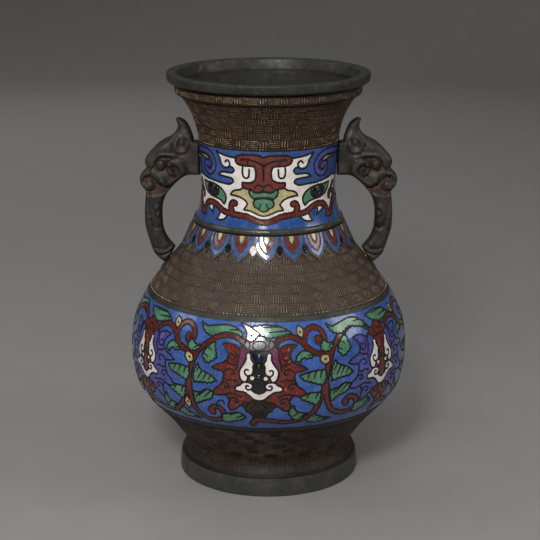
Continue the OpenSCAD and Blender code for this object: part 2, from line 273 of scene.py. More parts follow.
# ---------- Painting a band: layers of flat shapes, each over the one before
class Painting:
    def __init__(self, left, right, top, ground="ground"):
        self.box = (left, right, 0.0, top)
        self.shapes = [(ground, [(left, 0), (right, 0), (right, top), (left, top)])]
        self.centre_points = []

    def fill(self, tag, poly):
        poly = ccw([q[:2] for q in poly])
        if max(q[0] for q in poly) > self.box[0] and min(q[0] for q in poly) < self.box[1]:
            self.shapes.append((tag, poly))

    def line(self, tag, points, width, closed=False, shaped=True):
        """A line with round ends; shaped says that its points still have to be smoothed."""
        pts = smooth(points, closed) if shaped else points
        left, right = edges_of_line(pts, width, closed)
        n = len(pts)
        for i in range(n if closed else n - 1):
            j = (i + 1) % n
            quad = [right[i], right[j], left[j], left[i]]
            if area(quad) > 1e-4:
                self.fill(tag, quad)
        if not closed:
            for i in (0, n - 1):
                w = width(float(i > 0)) if callable(width) else width
                self.fill(tag, disc(*pts[i], w / 2))
        if tag == "wall":
            self.centre_points += pts

    def cell(self, tag, outline, wall):
        """A patch of colour with a metal wall round it."""
        pts = smooth(outline)
        self.fill(tag, pts)
        self.line("wall", pts, wall, closed=True, shaped=False)

    def triangles(self, grid):
        """Flat triangles of the whole painting: points, corners and the tag of each triangle.

        The last shape over a triangle gives its tag; grid is the spacing of the points between.
        """
        x0, x1, y0, y1 = self.box
        verts, edges = [], []
        for _, poly in self.shapes:
            n, base = len(poly), len(verts)
            edges += [(base + i, base + (i + 1) % n) for i in range(n)]
            verts += [Vector(q) for q in poly]
        inside = [q for q in self.centre_points if x0 + 1 < q[0] < x1 - 1 and y0 + 1 < q[1] < y1 - 1]
        verts += [Vector(q) for q in inside]
        nx, ny = round((x1 - x0) / grid), max(2, round((y1 - y0) / grid))
        for i in range(nx + 1):
            for j in range(ny + 1):
                edge = i in (0, nx) or j in (0, ny)
                shift = 0 if edge else 0.5 * (j % 2)
                verts.append(Vector((x0 + (x1 - x0) * min(i + shift, nx) / nx,
                                     y0 + (y1 - y0) * j / ny)))
        points, corners, size = triangulate(verts, edges, 1e-4)
        middle = points[corners].mean(1)
        order = np.argsort(middle[:, 0])
        corners, middle, size = corners[order], middle[order], size[order]
        top = np.full(len(corners), -1)
        for k, (_, poly) in enumerate(self.shapes):
            poly = np.array(poly)
            first, last = np.searchsorted(middle[:, 0], (poly[:, 0].min(), poly[:, 0].max()))
            near = np.arange(first, last)
            y = middle[near, 1]
            near = near[(y > poly[:, 1].min()) & (y < poly[:, 1].max())]
            if len(near):
                top[near[inside_polygon(middle[near], poly)]] = k
        domain = inside_polygon(middle, np.array(self.shapes[0][1]))
        keep = (size > 1e-6) & domain & (top >= 0)
        names = np.array([tag for tag, _ in self.shapes])
        return points, corners[keep], names[top[keep]]


class Band:
    """The body's surface between two heights: u runs round it and v up it, in millimetres."""

    def __init__(self, z0, z1, ref_r, turn, radius=radius_at):
        self.z = np.linspace(z0, z1, 240)
        self.r = np.array([radius(z) for z in self.z])
        step = np.hypot(np.diff(self.z), np.diff(self.r))
        self.s = np.concatenate([[0], np.cumsum(step)])
        self.length = self.s[-1]
        slope = np.gradient(self.r, self.s)
        rise = np.gradient(self.z, self.s)
        size = np.hypot(slope, rise)
        self.nr, self.nz = rise / size, -slope / size
        self.ref_r, self.turn = ref_r, turn

    def place(self, u, v, h, extra_turn=0.0):
        v = np.clip(v, 0, self.length)
        r = np.interp(v, self.s, self.r) + h * np.interp(v, self.s, self.nr)
        z = np.interp(v, self.s, self.z) + h * np.interp(v, self.s, self.nz)
        a = u / self.ref_r + self.turn + extra_turn
        return np.stack([r * np.sin(a), -r * np.cos(a), z], 1)


# ---------- Meshes
def mesh_piece(name, verts, faces, material, slot, replaces, angle=35, attributes=None):
    """Makes a piece from millimetre points; edges sharper than the angle stay sharp."""
    mesh = bpy.data.meshes.new(name)
    mesh.from_pydata([tuple(v) for v in np.asarray(verts) * UNIT], [], [tuple(f) for f in faces])
    mesh.validate()
    mesh.polygons.foreach_set("use_smooth", [True] * len(mesh.polygons))
    mesh.set_sharp_from_angle(angle=math.radians(angle))
    for key, values in (attributes or {}).items():
        layer = mesh.attributes.new(key, "FLOAT", "POINT")
        layer.data.foreach_set("value", np.asarray(values, dtype=np.float32))
    mesh.materials.append(material)
    mesh.update()
    obj = bpy.data.objects.new(name, mesh)
    bpy.context.collection.objects.link(obj)
    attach(obj, "root")
    if replaces:
        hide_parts(*replaces)


def closed_relief(points, corners, top, bottom):
    """A closed solid over the given flat triangles: top(indices) and bottom(indices) place them."""
    used = np.unique(corners)
    index = np.full(len(points), -1)
    index[used] = np.arange(len(used))
    tri = index[corners]
    n = len(used)
    edges = np.concatenate([tri[:, [0, 1]], tri[:, [1, 2]], tri[:, [2, 0]]])
    key = edges[:, 0] * (n + 1) + edges[:, 1]
    back = edges[:, 1] * (n + 1) + edges[:, 0]
    rim = edges[~np.isin(key, back)]
    faces = [tuple(t) for t in tri] + [tuple(t[::-1] + n) for t in tri]
    faces += [(a + n, b + n, b, a) for a, b in rim]
    return np.concatenate([top(used), bottom(used)]), faces


def join(parts):
    """Joins lists of (points, faces) into one."""
    verts, faces, base = [], [], 0
    for v, f in parts:
        verts.append(np.asarray(v))
        faces += [tuple(i + base for i in face) for face in f]
        base += len(v)
    return np.concatenate(verts), faces


def waves(points, size, amount, seed):
    return np.array([noise.noise(Vector((p[0] / size, p[1] / size, seed))) for p in points]) * amount


def relief_pieces(painting, band, looks, prefix, grid):
    """Makes the metal walls and one enamel piece for each colour of a painted band.

    looks maps a tag to (piece name, material, slot, nodes it stands for), or to a list with one
    such entry for each face of the vase.
    """
    points, corners, tags = painting.triangles(grid)
    is_wall = tags == "wall"
    touches_wall = np.zeros(len(points), bool)
    touches_wall[np.unique(corners[is_wall])] = True
    touches_other = np.zeros(len(points), bool)
    touches_other[np.unique(corners[~is_wall])] = True
    wall_top = np.where(touches_wall & ~touches_other, WALL_CREST, WALL_EDGE)
    tops = {"wall": wall_top + waves(points, 1.3, 0.05, 9.0)}
    enamel_top = ENAMEL_TOP + waves(points, 7.0, 0.07, 4.0)
    groups = {}
    for k, turn in enumerate(BOTH_FACES):
        for tag in np.unique(tags):
            height = tops.get(tag, enamel_top)

            def top(i, height=height, turn=turn):
                return band.place(points[i, 0], points[i, 1], height[i], turn)

            def bottom(i, turn=turn):
                return band.place(points[i, 0], points[i, 1], -SINK, turn)
            entry = looks[tag][k] if isinstance(looks[tag], list) else looks[tag]
            solid = closed_relief(points, corners[tags == tag], top, bottom)
            groups.setdefault(entry[0], (entry, []))[1].append(solid)
    for name, (entry, solids) in groups.items():
        verts, faces = join(solids)
        mesh_piece(prefix + name, verts, faces, *entry[1:])


def lathe(name, profile, material, slot, replaces, wobble, seed):
    """Turns a closed profile of (radius, height) points about the axis, a little uneven by wobble."""
    steps = 256
    n = len(profile)
    verts = []
    for i in range(steps):
        a = 2 * math.pi * i / steps
        sa, ca = math.sin(a), -math.cos(a)
        for r, z in profile:
            w = wobble * noise.noise(Vector((sa * 6, ca * 6, z * 0.12 + seed)))
            verts.append(((r + w) * sa, (r + w) * ca, z))
    faces = []
    for i in range(steps):
        j = (i + 1) % steps
        for k in range(n):
            m = (k + 1) % n
            if profile[k][0] < 1e-6 and profile[m][0] < 1e-6:
                continue
            faces.append((i * n + k, j * n + k, j * n + m, i * n + m))
    mesh_piece(name, verts, faces, material, slot, replaces, 32)


def side(z0, z1, inset):
    """Profile points up the body's surface between two heights, about 2 mm apart."""
    n = max(1, math.ceil((z1 - z0) / 2))
    return [(radius_at(z0 + (z1 - z0) * i / n) - inset, z0 + (z1 - z0) * i / n) for i in range(n + 1)]


def arc(r, z, size, start, end, n):
    """Profile points on a circular arc; angles in degrees from level outwards."""
    return [(r + size * math.cos(math.radians(start + (end - start) * i / n)),
             z + size * math.sin(math.radians(start + (end - start) * i / n))) for i in range(n + 1)]


# ---------- Looks: procedural materials
def rgb(r, g, b):
    """Screen colour from 0 to 255 as linear light."""
    def linear(c):
        c /= 255
        return c / 12.92 if c < 0.04045 else ((c + 0.055) / 1.055) ** 2.4
    return (linear(r), linear(g), linear(b), 1)


class Look:
    def __init__(self, name):
        self.material = bpy.data.materials.new(name)
        self.material.use_nodes = True
        self.tree = self.material.node_tree
        self.shader = self.tree.nodes["Principled BSDF"]
        self.place = self.tree.nodes.new("ShaderNodeTexCoord").outputs["Object"]

    def node(self, kind, inputs=(), **settings):
        node = self.tree.nodes.new(kind)
        for key, value in settings.items():
            setattr(node, key, value)
        for key, value in dict(inputs).items():
            self.put(node, key, value)
        return node

    def put(self, node, key, value):
        """Links another node's output to an input, or sets the input's value."""
        if isinstance(value, bpy.types.NodeSocket):
            self.tree.links.new(value, node.inputs[key])
        else:
            node.inputs[key].default_value = value

    def moved(self, shift):
        return self.node("ShaderNodeMapping", {"Vector": self.place,
                                               "Location": (shift,) * 3}).outputs[0]

    def noise(self, size, detail=3.0, rough=0.55, shift=0.0):
        """Noise whose blotches are about size millimetres across, from 0 to 1."""
        return self.node("ShaderNodeTexNoise", {"Vector": self.moved(shift), "Scale": 1000 / size,
                                                "Detail": detail, "Roughness": rough}).outputs[0]

    def cells(self, size, shift):
        """Distance to scattered points about size millimetres apart."""
        return self.node("ShaderNodeTexVoronoi", {"Vector": self.moved(shift),
                                                  "Scale": 1000 / size}).outputs[0]

    def attribute(self, name):
        return self.node("ShaderNodeAttribute", attribute_name=name).outputs["Fac"]

    def ramp(self, value, low, high, start=0.0, end=1.0):
        """Maps low..high of the value to start..end, and holds it beyond them."""
        return self.node("ShaderNodeMapRange", {"Value": value, "From Min": low, "From Max": high,
                                                "To Min": start, "To Max": end}).outputs[0]

    def maths(self, kind, a, b):
        return self.node("ShaderNodeMath", {0: a, 1: b}, operation=kind).outputs[0]

    def mix(self, factor, a, b):
        return self.node("ShaderNodeMix", {0: factor, 6: a, 7: b}, data_type="RGBA").outputs[2]

    def finish(self, colour, rough, height, depth, metal=0.0, gloss=0.5, coat=0.0):
        """The material, with bumps up to depth millimetres high."""
        bump = self.node("ShaderNodeBump", {"Height": height, "Strength": 1.0,
                                            "Distance": depth * UNIT})
        for key, value in (("Base Color", colour), ("Roughness", rough), ("Metallic", metal),
                           ("Specular IOR Level", gloss), ("Coat Weight", coat),
                           ("Coat Roughness", 0.12), ("Normal", bump.outputs[0])):
            self.put(self.shader, key, value)
        return self.material


def enamel(name, seed, colour, dark, pale, worn=0.0, rough=0.18):
    """Glass enamel: cloudy colour, paler grain, gas pits and a few worn patches."""
    look = Look(name)
    cloud = look.noise(9, 4, shift=seed)
    tone = look.mix(look.ramp(cloud, 0.35, 0.65), dark, colour)
    grain = look.noise(1.6, 2, shift=seed + 0.3)
    tone = look.mix(look.ramp(grain, 0.52, 0.8, 0, 0.45), tone, pale)
    pit = look.ramp(look.cells(1.9, seed), 0.1, 0.2, 1, 0)
    some = look.ramp(look.noise(5, 2, shift=seed + 0.7), 0.5, 0.62)
    pit = look.maths("MULTIPLY", pit, some)
    tone = look.mix(look.maths("MULTIPLY", pit, 0.6), tone, rgb(30, 28, 26))
    if worn:
        patch = look.ramp(look.noise(7, 5, 0.65, shift=seed + 1.9), 0.66 - worn, 0.72 - worn)
        tone = look.mix(look.maths("MULTIPLY", patch, 0.75), tone, pale)
    gloss = look.ramp(look.noise(8, 5, 0.65, shift=seed + 1.1), 0.38, 0.64, rough - 0.08, rough + 0.16)
    height = look.maths("SUBTRACT", look.noise(6, 3, shift=seed), look.maths("MULTIPLY", pit, 0.9))
    return look.finish(tone, gloss, height, 0.12, coat=0.3)


def bronze(name, seed, colour, dark, warm, rough, grain=0.6, depth=0.1, metal=0.2, wear=None):
    """Patinated bronze: blotches, rubbed spots, fine pits and small casting waves.

    wear is the colour where the piece's own attribute says that it's rubbed bare.
    """
    look = Look(name)
    blotch = look.noise(16, 5, 0.6, shift=seed)
    tone = look.mix(look.ramp(blotch, 0.38, 0.62), dark, colour)
    rub = look.noise(5, 4, 0.65, shift=seed + 0.4)
    tone = look.mix(look.ramp(rub, 0.55, 0.75, 0, 0.7), tone, warm)
    if wear:
        gold = look.maths("MULTIPLY", look.attribute("wear"),
                          look.ramp(look.noise(4, 4, 0.7, shift=seed + 0.9), 0.42, 0.6))
        tone = look.mix(gold, tone, wear)
    fine = look.noise(grain, 3, shift=seed)
    rough_map = look.ramp(look.noise(8, 5, shift=seed + 1.3), 0.3, 0.7, rough - 0.1, rough + 0.15)
    height = look.maths("ADD", look.maths("MULTIPLY", fine, 0.5), look.noise(5, 3, shift=seed))
    return look.finish(tone, rough_map, height, depth, metal, 0.35)


# Key, seed, colour, darker clouds, paler grain, and what else differs from the usual enamel
ENAMELS = (
    ("blue", 1, (50, 80, 142), (39, 63, 118), (96, 124, 168), {}),
    ("neck_blue", 33, (40, 70, 124), (31, 55, 104), (88, 112, 150), {}),
    ("white", 2, (204, 198, 194), (182, 174, 168), (228, 224, 220), {}),
    ("red", 3, (98, 33, 28), (76, 25, 22), (136, 80, 70), {}),
    ("vine", 21, (85, 29, 25), (67, 24, 20), (112, 60, 50), {}),
    ("maroon", 4, (90, 21, 18), (68, 16, 14), (144, 96, 88), {"worn": 0.06}),
    ("plum", 22, (100, 44, 78), (82, 34, 52), (130, 88, 110), {}),
    ("green", 5, (72, 116, 90), (54, 92, 70), (112, 154, 122), {}),
    ("yellow", 6, (160, 150, 108), (136, 126, 86), (204, 196, 150), {}),
    ("purple", 7, (62, 66, 136), (48, 52, 110), (116, 112, 152), {"worn": 0.03}),
    ("dark", 8, (9, 10, 14), (5, 6, 8), (26, 28, 36), {}),
    ("navy", 23, (15, 19, 56), (9, 11, 30), (40, 48, 84), {}),
    ("grey", 9, (50, 48, 48), (25, 24, 26), (136, 130, 118), {"worn": 0.08, "rough": 0.34}),
)
# Key, name, seed, colour, darker blotches, rubbed spots, roughness, and what else differs
BRONZES = (
    ("wall", "enamel_wall_bronze", 10, (31, 28, 22), (18, 17, 14), (58, 52, 40), 0.45, {}),
    ("sepal", "sepal_bronze", 24, (54, 46, 36), (26, 22, 18), (86, 72, 58), 0.5,
     {"grain": 1.2, "depth": 0.3}),
    ("rim", "rim_bronze", 11, (45, 45, 39), (33, 33, 29), (72, 68, 56), 0.48, {}),
    ("ring", "ring_bronze", 32, (80, 79, 72), (60, 60, 55), (100, 96, 86), 0.24, {"metal": 0.5}),
    ("band", "band_bronze", 25, (50, 50, 43), (36, 36, 31), (68, 63, 52), 0.46, {}),
    ("foot", "foot_bronze", 12, (60, 59, 53), (48, 49, 45), (76, 72, 62), 0.42, {}),
    ("throat", "throat_bronze", 31, (28, 28, 25), (21, 21, 19), (38, 36, 31), 0.62, {}),
    ("petal_rim", "petal_rim_bronze", 26, (68, 66, 62), (46, 45, 43), (104, 100, 92), 0.42, {}),
    ("ground", "fret_ground_bronze", 13, (53, 45, 39), (41, 34, 30), (64, 54, 46), 0.58, {}),
    ("fret", "fret_line_bronze", 14, (95, 76, 63), (77, 60, 50), (120, 95, 77), 0.5,
     {"wear": rgb(168, 152, 118)}),
    ("neck_ground", "neck_fret_ground_bronze", 27, (36, 26, 20), (24, 18, 14), (50, 36, 27), 0.58, {}),
    ("neck_fret", "neck_fret_line_bronze", 28, (78, 56, 42), (56, 40, 29), (104, 78, 56), 0.45,
     {"wear": rgb(168, 146, 104)}),
    ("foot_ground", "foot_fret_ground_bronze", 29, (25, 21, 18), (17, 15, 12), (44, 36, 29), 0.55, {}),
    ("foot_fret", "foot_fret_line_bronze", 30, (65, 50, 40), (47, 36, 29), (84, 69, 55), 0.5,
     {"wear": rgb(120, 104, 78)}),
    ("handle", "handle_bronze", 15, (46, 42, 39), (28, 25, 23), (64, 56, 48), 0.45,
     {"grain": 0.9, "metal": 0.3}),
    ("base", "base_bronze", 17, (58, 52, 42), (40, 37, 31), (88, 76, 54), 0.55, {}),
    ("brass", "pin_brass", 18, (120, 100, 62), (84, 70, 44), (150, 130, 84), 0.4, {"metal": 0.8}),
    ("solder", "solder_grey", 19, (58, 55, 48), (40, 38, 33), (82, 76, 62), 0.55, {}),
)
M = {}
for key, seed, colour, dark, pale, more in ENAMELS:
    M[key] = enamel(key + "_enamel", seed, rgb(*colour), rgb(*dark), rgb(*pale), **more)
for key, name, seed, colour, dark, warm, rough, more in BRONZES:
    M[key] = bronze(name, seed, rgb(*colour), rgb(*dark), rgb(*warm), rough, **more)

# ---------- The belly: scrolling vines between lotus flowers
BELLY = Band(Z_BELLY_LOW, Z_BELLY_HIGH, BELLY_R, BELLY_TURN)
PITCH = math.radians(FLOWER_PITCH) * BELLY_R
HALF_TURN = math.pi * BELLY_R
SIDE_GAP = HALF_TURN - 2 * PITCH    # from one face's last flower to the other face's first

VINE = [(-4.7, 6), (-2.7, 10), (6, 10), (16, 8), (26, 8.5), (34, 11.5), (39, 17), (43, 25),
        (45.8, 35), (48.3, 47), (50.3, 55), (53.3, 62), (58, 67), (66, 73), (74, 76), (82, 75),
        (88, 71)]
ARCH = [(9.3, 57), (10.3, 66), (15.3, 71.5), (21.3, 73), (27.3, 71), (32.3, 66.5), (36.3, 61.5),
        (41.3, 59), (47.3, 59), (53.3, 62)]
TOP_CURL = [(32.3, 66), (32.8, 71), (35.3, 75.5), (40.3, 78), (45.3, 76.5), (48.3, 72),
            (47.8, 67.8), (45, 66.2), (42.6, 67.3)]
LOW_CURL = [(47.3, 36), (47.8, 28), (49.3, 21), (53.3, 15), (59.3, 11.3), (66.3, 10.8),
            (71.8, 14), (72.8, 19), (69.8, 23), (65.3, 23.2), (63, 20.5)]
VINE_START = [(-4.6, 5.4), (-3.6, 8.8), (0, 9.9), (6, 9.9), (12, 8.9)]
VINE_WIDE = 2.6
VINE_WALLED = 5.0
LOOSE_CURL = [(-29.7, 19.5), (-29.9, 22.6), (-28, 25), (-25.6, 25), (-24.7, 22.6)]
LEAF_SIZE = 1.06    # how much larger a leaf is drawn than its points say
# Each leaf: its outline, then the veins: between which two of its points they start, how many
# there are, and how far they lean towards the second of those points
LEAVES = [
    ([(-8, 79.5, C), (5, 81), (15, 80), (22.5, 76, C), (14, 73.5), (6, 72, C), (-2, 75)],
     (1, 3, 3, -3.0)),
    ([(25.8, 56), (27.3, 60), (30.3, 62.5, C), (34.3, 61), (38.3, 58, C), (33.3, 56.5),
      (30.3, 57.5), (28.3, 54.5, C)], (1, 4, 2, -1.5)),
    ([(44.3, 62), (45.5, 66), (47.3, 68.8, C), (50.3, 66), (55.3, 66.5, C), (52.3, 62.5),
      (48.3, 60.5)], (2, 4, 2, -1.5)),
    ([(57.3, 60), (59.3, 64), (62, 67.5), (65.8, 70, C), (66.3, 67), (68.3, 60, C), (65, 57),
      (61.3, 55.5)], (0, 3, 3, 1.5)),
    ([(28.8, 44.8, C), (36.3, 46.2), (46.3, 46.8, C), (46.5, 41), (44, 36.6, C), (36.3, 39.5),
      (31.3, 41.5)], (0, 2, 4, -2.5)),
    ([(54.3, 53, C), (56.3, 50), (58.3, 48.5, C), (63.3, 46.5), (68.3, 42.5, C), (64.3, 40.6),
      (58.3, 40), (51.3, 38.6, C), (51.3, 44), (52.8, 50)], (0, 4, 5, 1.5)),
    ([(27.3, 30, C), (33.3, 30.7), (43.3, 31.2, C), (42.3, 25), (40.3, 21.6, C), (33.3, 25),
      (29.3, 27)], (0, 2, 3, -2.5)),
    ([(51.3, 31.5, C), (56.3, 32), (61, 34.5), (66.3, 33.8, C), (64.3, 29), (58.3, 26),
      (52.3, 22.3, C), (50.8, 27)], (0, 3, 4, -3.0)),
    ([(24.3, 21.8, C), (26.3, 17), (30.3, 15.4), (34.5, 14.8, C), (31, 12.5), (29, 9.8),
      (24.3, 10.3), (22.3, 13), (20.8, 17)], (0, 3, 3, -1.0)),
    ([(33.8, 8.5), (36, 11), (39.3, 14, C), (44.3, 11), (52.3, 8, C), (46.3, 6.2), (38.3, 5.8)],
     (1, 4, 4, -1.0)),
    ([(71.3, 9.5), (72.3, 16, C), (78.3, 17.5), (83.3, 18.8), (88.3, 15.5, C), (84.5, 12.5),
      (79, 10), (75, 8.4)], (1, 4, 4, -2.5)),
]
# The leaf over a flower's left side
TOP_LEAF = ([(-46, 79.8, C), (-41, 77.2), (-34, 78.6), (-26, 80), (-19, 79), (-14, 75.5),
             (-13.3, 71.8, C), (-20, 73), (-28, 74), (-36, 71.2), (-41, 73)], (1, 5, 5, -2.5))
TOP_BUD = [(28.8, 80.5, C), (32.6, 78.2), (33, 74.5), (31.6, 71.3, C), (28.2, 74), (27.6, 77.5)]
SMALL_BUD = [(42.6, 54.5), (44.2, 57.9), (49.4, 58.1, C), (50, 53.2), (46.2, 50.4, C)]
CROTCH_BUD = [(44.2, 25.2, C), (47.6, 20), (45, 14.4, C), (41.6, 19)]
# A bud above the middle flower's cap, drawn in white enamel: the bud is real, its white is painted
# highlight where the light's glare falls
GLARE_BUD = [(-14.7, 82.5, C), (-11.5, 78.5), (-9.7, 75), (-9.9, 70.5), (-6, 68.6), (-2, 71.5),
            (0.5, 74.5, C), (-2.5, 76.2), (-7, 79.5)]

# The right half of a flower
FLAME = [(7.1, 61.8, C), (8.4, 60.5), (8.6, 56.5), (11, 52), (13.2, 48.5), (13.3, 44.5),
         (11.8, 41.3), (8.8, 40.3, C), (7.6, 43), (7.3, 44.6), (4.8, 45.8), (3.9, 48.5),
         (4, 51.5), (3.1, 53.6, C), (5, 57), (5.6, 60.5)]
FLAME_HOOK = [(7.6, 44.6), (9.3, 46), (9.7, 48), (8.6, 49.3), (7.3, 48.7)]
BOAT = [(0, 26, C), (3, 26.8), (7, 30.6), (10.5, 33), (14, 33.3), (16.4, 34.2), (15.6, 36.8),
        (13, 38), (11.3, 39.9), (7.6, 40.4), (4.8, 39.4), (4, 37.3), (5.4, 35.2, C), (3, 33),
        (0, 31.7, C)]
BOAT_HOOK = [(5.4, 35.2), (7.6, 34.8), (8.9, 36.3), (8.3, 38), (7, 37.6)]
COLUMN = [(0, 66, C), (4.2, 65.4), (7.4, 63, C), (6, 60), (3.9, 57), (2.6, 53.4), (3.4, 49),
          (3, 46), (5, 43.6), (4.2, 40), (4, 36.5), (3, 33), (0, 31, C)]
NAVY_PATCH = [(0, 60.8), (2.4, 60), (2.6, 57.4), (1.4, 55), (0, 54.6)]
BLACK_BEAD = [(0, 50.2), (1.9, 49.4), (2.2, 47.4), (1.6, 45.7), (0, 45.2)]
CAP = [(0, 73.4), (3.4, 72.6), (5.2, 70.2), (8, 70.3), (10.4, 68), (9.6, 65), (7.4, 63.4),
       (4.2, 63, C), (0, 63.4)]
DARK_CAP_MARKS = [([(2.2, 63.6), (4.6, 66), (3.6, 68.8), (0.4, 69.6)], 1.0),
                  ([(7.2, 64), (6.4, 67), (7.6, 69.6)], 0.9)]
RED_CAP_MARKS = [([(1.2, 63.6), (3.6, 66.4), (2.2, 68.6), (0.2, 67.6)], 1.1),
                 ([(5.6, 64), (6.6, 67), (5.4, 69)], 1.0)]
# The left one of the two drops between the flames
DROP = [(-2.7, 44.4), (-4.95, 45.3), (-6.525, 43.6), (-5.85, 41.9), (-3.375, 41.8)]
# The petals of one side are one patch with a scalloped edge; curls run in from its notches
PETALS_SIDE = [(3.4, 27, C), (5, 24.4), (10, 23), (14.4, 21), (17, 18.6), (20.8, 17.4, C),
               (22, 21.4), (21, 24.6), (22.4, 28.4), (23.6, 29.8, C), (28, 28.8), (33, 29.8, C),
               (30.4, 33.8), (27, 36.4), (25.5, 39), (25, 41.6, C), (24.4, 44.6), (25.4, 47),
               (28.4, 47.4), (33.6, 48.8, C), (29.4, 51.8), (25.6, 53.2), (22.6, 55.4, C), (21.6, 58.8),
               (22.8, 62.2), (27, 66.4, C), (22, 67.2), (17.4, 66.4), (14, 64.6), (12.4, 66.4),
               (9.4, 66.6, C), (6, 60), (4, 50), (3, 38)]
PETAL_CURLS = [
    [(10.4, 66.4), (13, 63.6), (13.3, 59.6), (14, 55.8), (15, 52), (15.4, 48.6)],
    [(14, 64.8), (15.4, 61.8), (15.9, 58.2), (18, 56), (20.4, 56.8), (21, 59.2),
     (19.4, 60.8), (18, 59.6)],
    [(22.6, 55.4), (20.8, 53.4), (18.6, 52.6), (16, 52.4)],
    [(24.6, 46.4), (22.6, 48.6), (19.6, 49.4), (17.4, 47.9), (17.6, 45.8), (19.4, 45.5)],
    [(25, 42.2), (22, 40.8), (18.6, 41.6), (15.4, 40.6)],
    [(26.4, 37.8), (23.8, 38.7), (21.2, 37.7), (20.8, 35.5), (22.6, 34.7), (23.8, 36)],
    [(23.4, 30), (19.6, 31), (16.4, 30.4), (12.4, 29.4)],
    [(21, 24.8), (19.8, 27.2), (16.8, 27.8), (14.6, 26), (15.8, 24.2), (17.3, 25)]]
SIDE_STRIP = ([(9.4, 66.4, C), (10.4, 66.4, C)] + PETAL_CURLS[0][1:5]
              + [(15.2, 48, C), (11, 50), (8.6, 56), (7.6, 61.5)])
SEPAL = [(0, 27), (3, 27, C), (5.4, 25.4), (10.6, 24.2), (12.4, 22, C), (10, 20.4), (9, 17.8, C),
         (6.6, 16.4), (4.6, 13.6), (4.4, 10.2, C), (0, 9.6)]
SEPAL_MARKS = [[(2.2, 26), (2.6, 22.6), (5, 20.6)], [(7.4, 24), (8.2, 21.2)],
               [(0, 19), (2.6, 17.4), (3, 14.6)]]


class Hand:
    """Places control points the way a craftsman copies a pattern: each copy a little different.

    stretch widens the part to the right of x = 30, drop lowers the part to the right of x = 42,
    and wander is how far a point strays.
    """

    def __init__(self, origin, seed, stretch=0.0, drop=0.0, wander=0.55):
        self.origin, self.seed, self.stretch, self.drop = origin, seed, stretch, drop
        self.wander = wander

    def warp(self, x):
        if self.stretch and x > 30:
            return x + self.stretch * min((x - 30) / 38, 1)
        return x

    def point(self, q, shift=None):
        x = self.warp(q[0]) if shift is None else q[0] + shift
        y = q[1] - self.drop * min(max((q[0] - 42) / 12, 0), 1)
        a = Vector((q[0] * 0.06, q[1] * 0.06, self.seed))
        x += self.wander * 2 * noise.noise(a)
        y += self.wander * 2 * noise.noise(a + Vector((31, 17, 0)))
        return at(x + self.origin, y, q)

    def curve(self, points):
        return [self.point(q) for q in points]

    def shift(self, points):
        """How far a shape moves with its middle."""
        middle = sum(q[0] for q in points) / len(points)
        return self.warp(middle) - middle

    def shape(self, points):
        """The points moved as one, without stretching the shape."""
        return [self.point(q, self.shift(points)) for q in points]

    def cells(self, art, tag, half, wall=1.3):
        """A patch and its mirror image, each with a wall round it."""
        for shape in pair(half):
            art.cell(tag, self.curve(shape), wall)

    def lines(self, art, half, width=1.2, tag="wall"):
        """A line and its mirror image."""
        for shape in pair(half):
            art.line(tag, self.curve(shape), width)

    def ribbons(self, art, tag, half, width, wall=1.2):
        """A line of colour between two walls, and its mirror image."""
        self.lines(art, half, width + 2 * wall)
        self.lines(art, half, width, tag)

    def middle_cell(self, art, tag, half, wall=1.1):
        """A patch that lies across the axis, from its right half."""
        art.cell(tag, self.curve(both(half)), wall)


def scalloped(line):
    """The same line with small lobes to its right, dying out at both ends."""
    pitch, rise, fading = 3.4, 0.9, 2.5
    steps = [math.dist(p, q) for p, q in zip(line, line[1:])]
    total = sum(steps)
    out, s = [], 0.0
    for i, (x, y) in enumerate(line):
        a, b = line[max(i - 1, 0)], line[min(i + 1, len(line) - 1)]
        d = math.dist(a, b) or 1
        fade = min(1, s / fading, (total - s) / fading)
        w = rise * fade * (abs(math.sin(math.pi * s / pitch)) - 0.6)
        out.append((x + (b[1] - a[1]) / d * w, y - (b[0] - a[0]) / d * w))
        s += steps[i] if i < len(steps) else 0
    return out


def leaf(art, hand, data):
    """A leaf with one plain edge, one scalloped edge and short veins in from the plain one."""
    outline, (first, last, count, lean) = data
    pts = [q if len(q) > 2 or i not in (first, last) else q + (C,)
           for i, q in enumerate(hand.shape(outline))]
    mid_x, mid_y = (sum(q[k] for q in pts) / len(pts) for k in range(2))
    pts = [at(mid_x + LEAF_SIZE * (q[0] - mid_x), mid_y + LEAF_SIZE * (q[1] - mid_y), q) for q in pts]
    veined = smooth(pts[first:last + 1], False, 0.5)
    plain = smooth(pts[last:] + pts[:first + 1], False, 0.5)
    clockwise = area([q[:2] for q in pts]) < 0
    plain = scalloped(plain[::-1])[::-1] if clockwise else scalloped(plain)
    edge = veined[:-1] + plain[:-1]
    art.fill("green", edge)
    art.line("wall", edge, 1.3, closed=True, shaped=False)
    poly = np.array(edge)
    middle = Vector(poly.mean(0))
    a, b = Vector(veined[0]), Vector(veined[-1])
    along = (b - a).normalized()
    for k in range(count):
        place = 0.14 + 0.74 * k / max(count - 1, 1)
        start = Vector(veined[round(place * (len(veined) - 1))])
        for reach in (1.5, 1.3, 1.1, 0.9, 0.7, 0.5, 0.3):
            end = start + (middle - (a + b) / 2) * reach + along * lean * reach
            tip = np.array([tuple(end)])
            if inside_polygon(tip, poly)[0] and gap_to(tip, edge, True)[0] > 1.5:
                break
        bend = start + (end - start) * 0.55 + along * lean * 0.12
        art.line("wall", [tuple(start), tuple(bend), tuple(end)], lambda t: 1.45 - 0.75 * t)


def bud(art, hand, outline, tag, dot):
    """A patch with a metal dot in it."""
    art.cell(tag, hand.shape(outline), 1.15)
    x, y = hand.point(dot, hand.shift(outline))
    art.fill("wall", disc(x, y, 0.85))


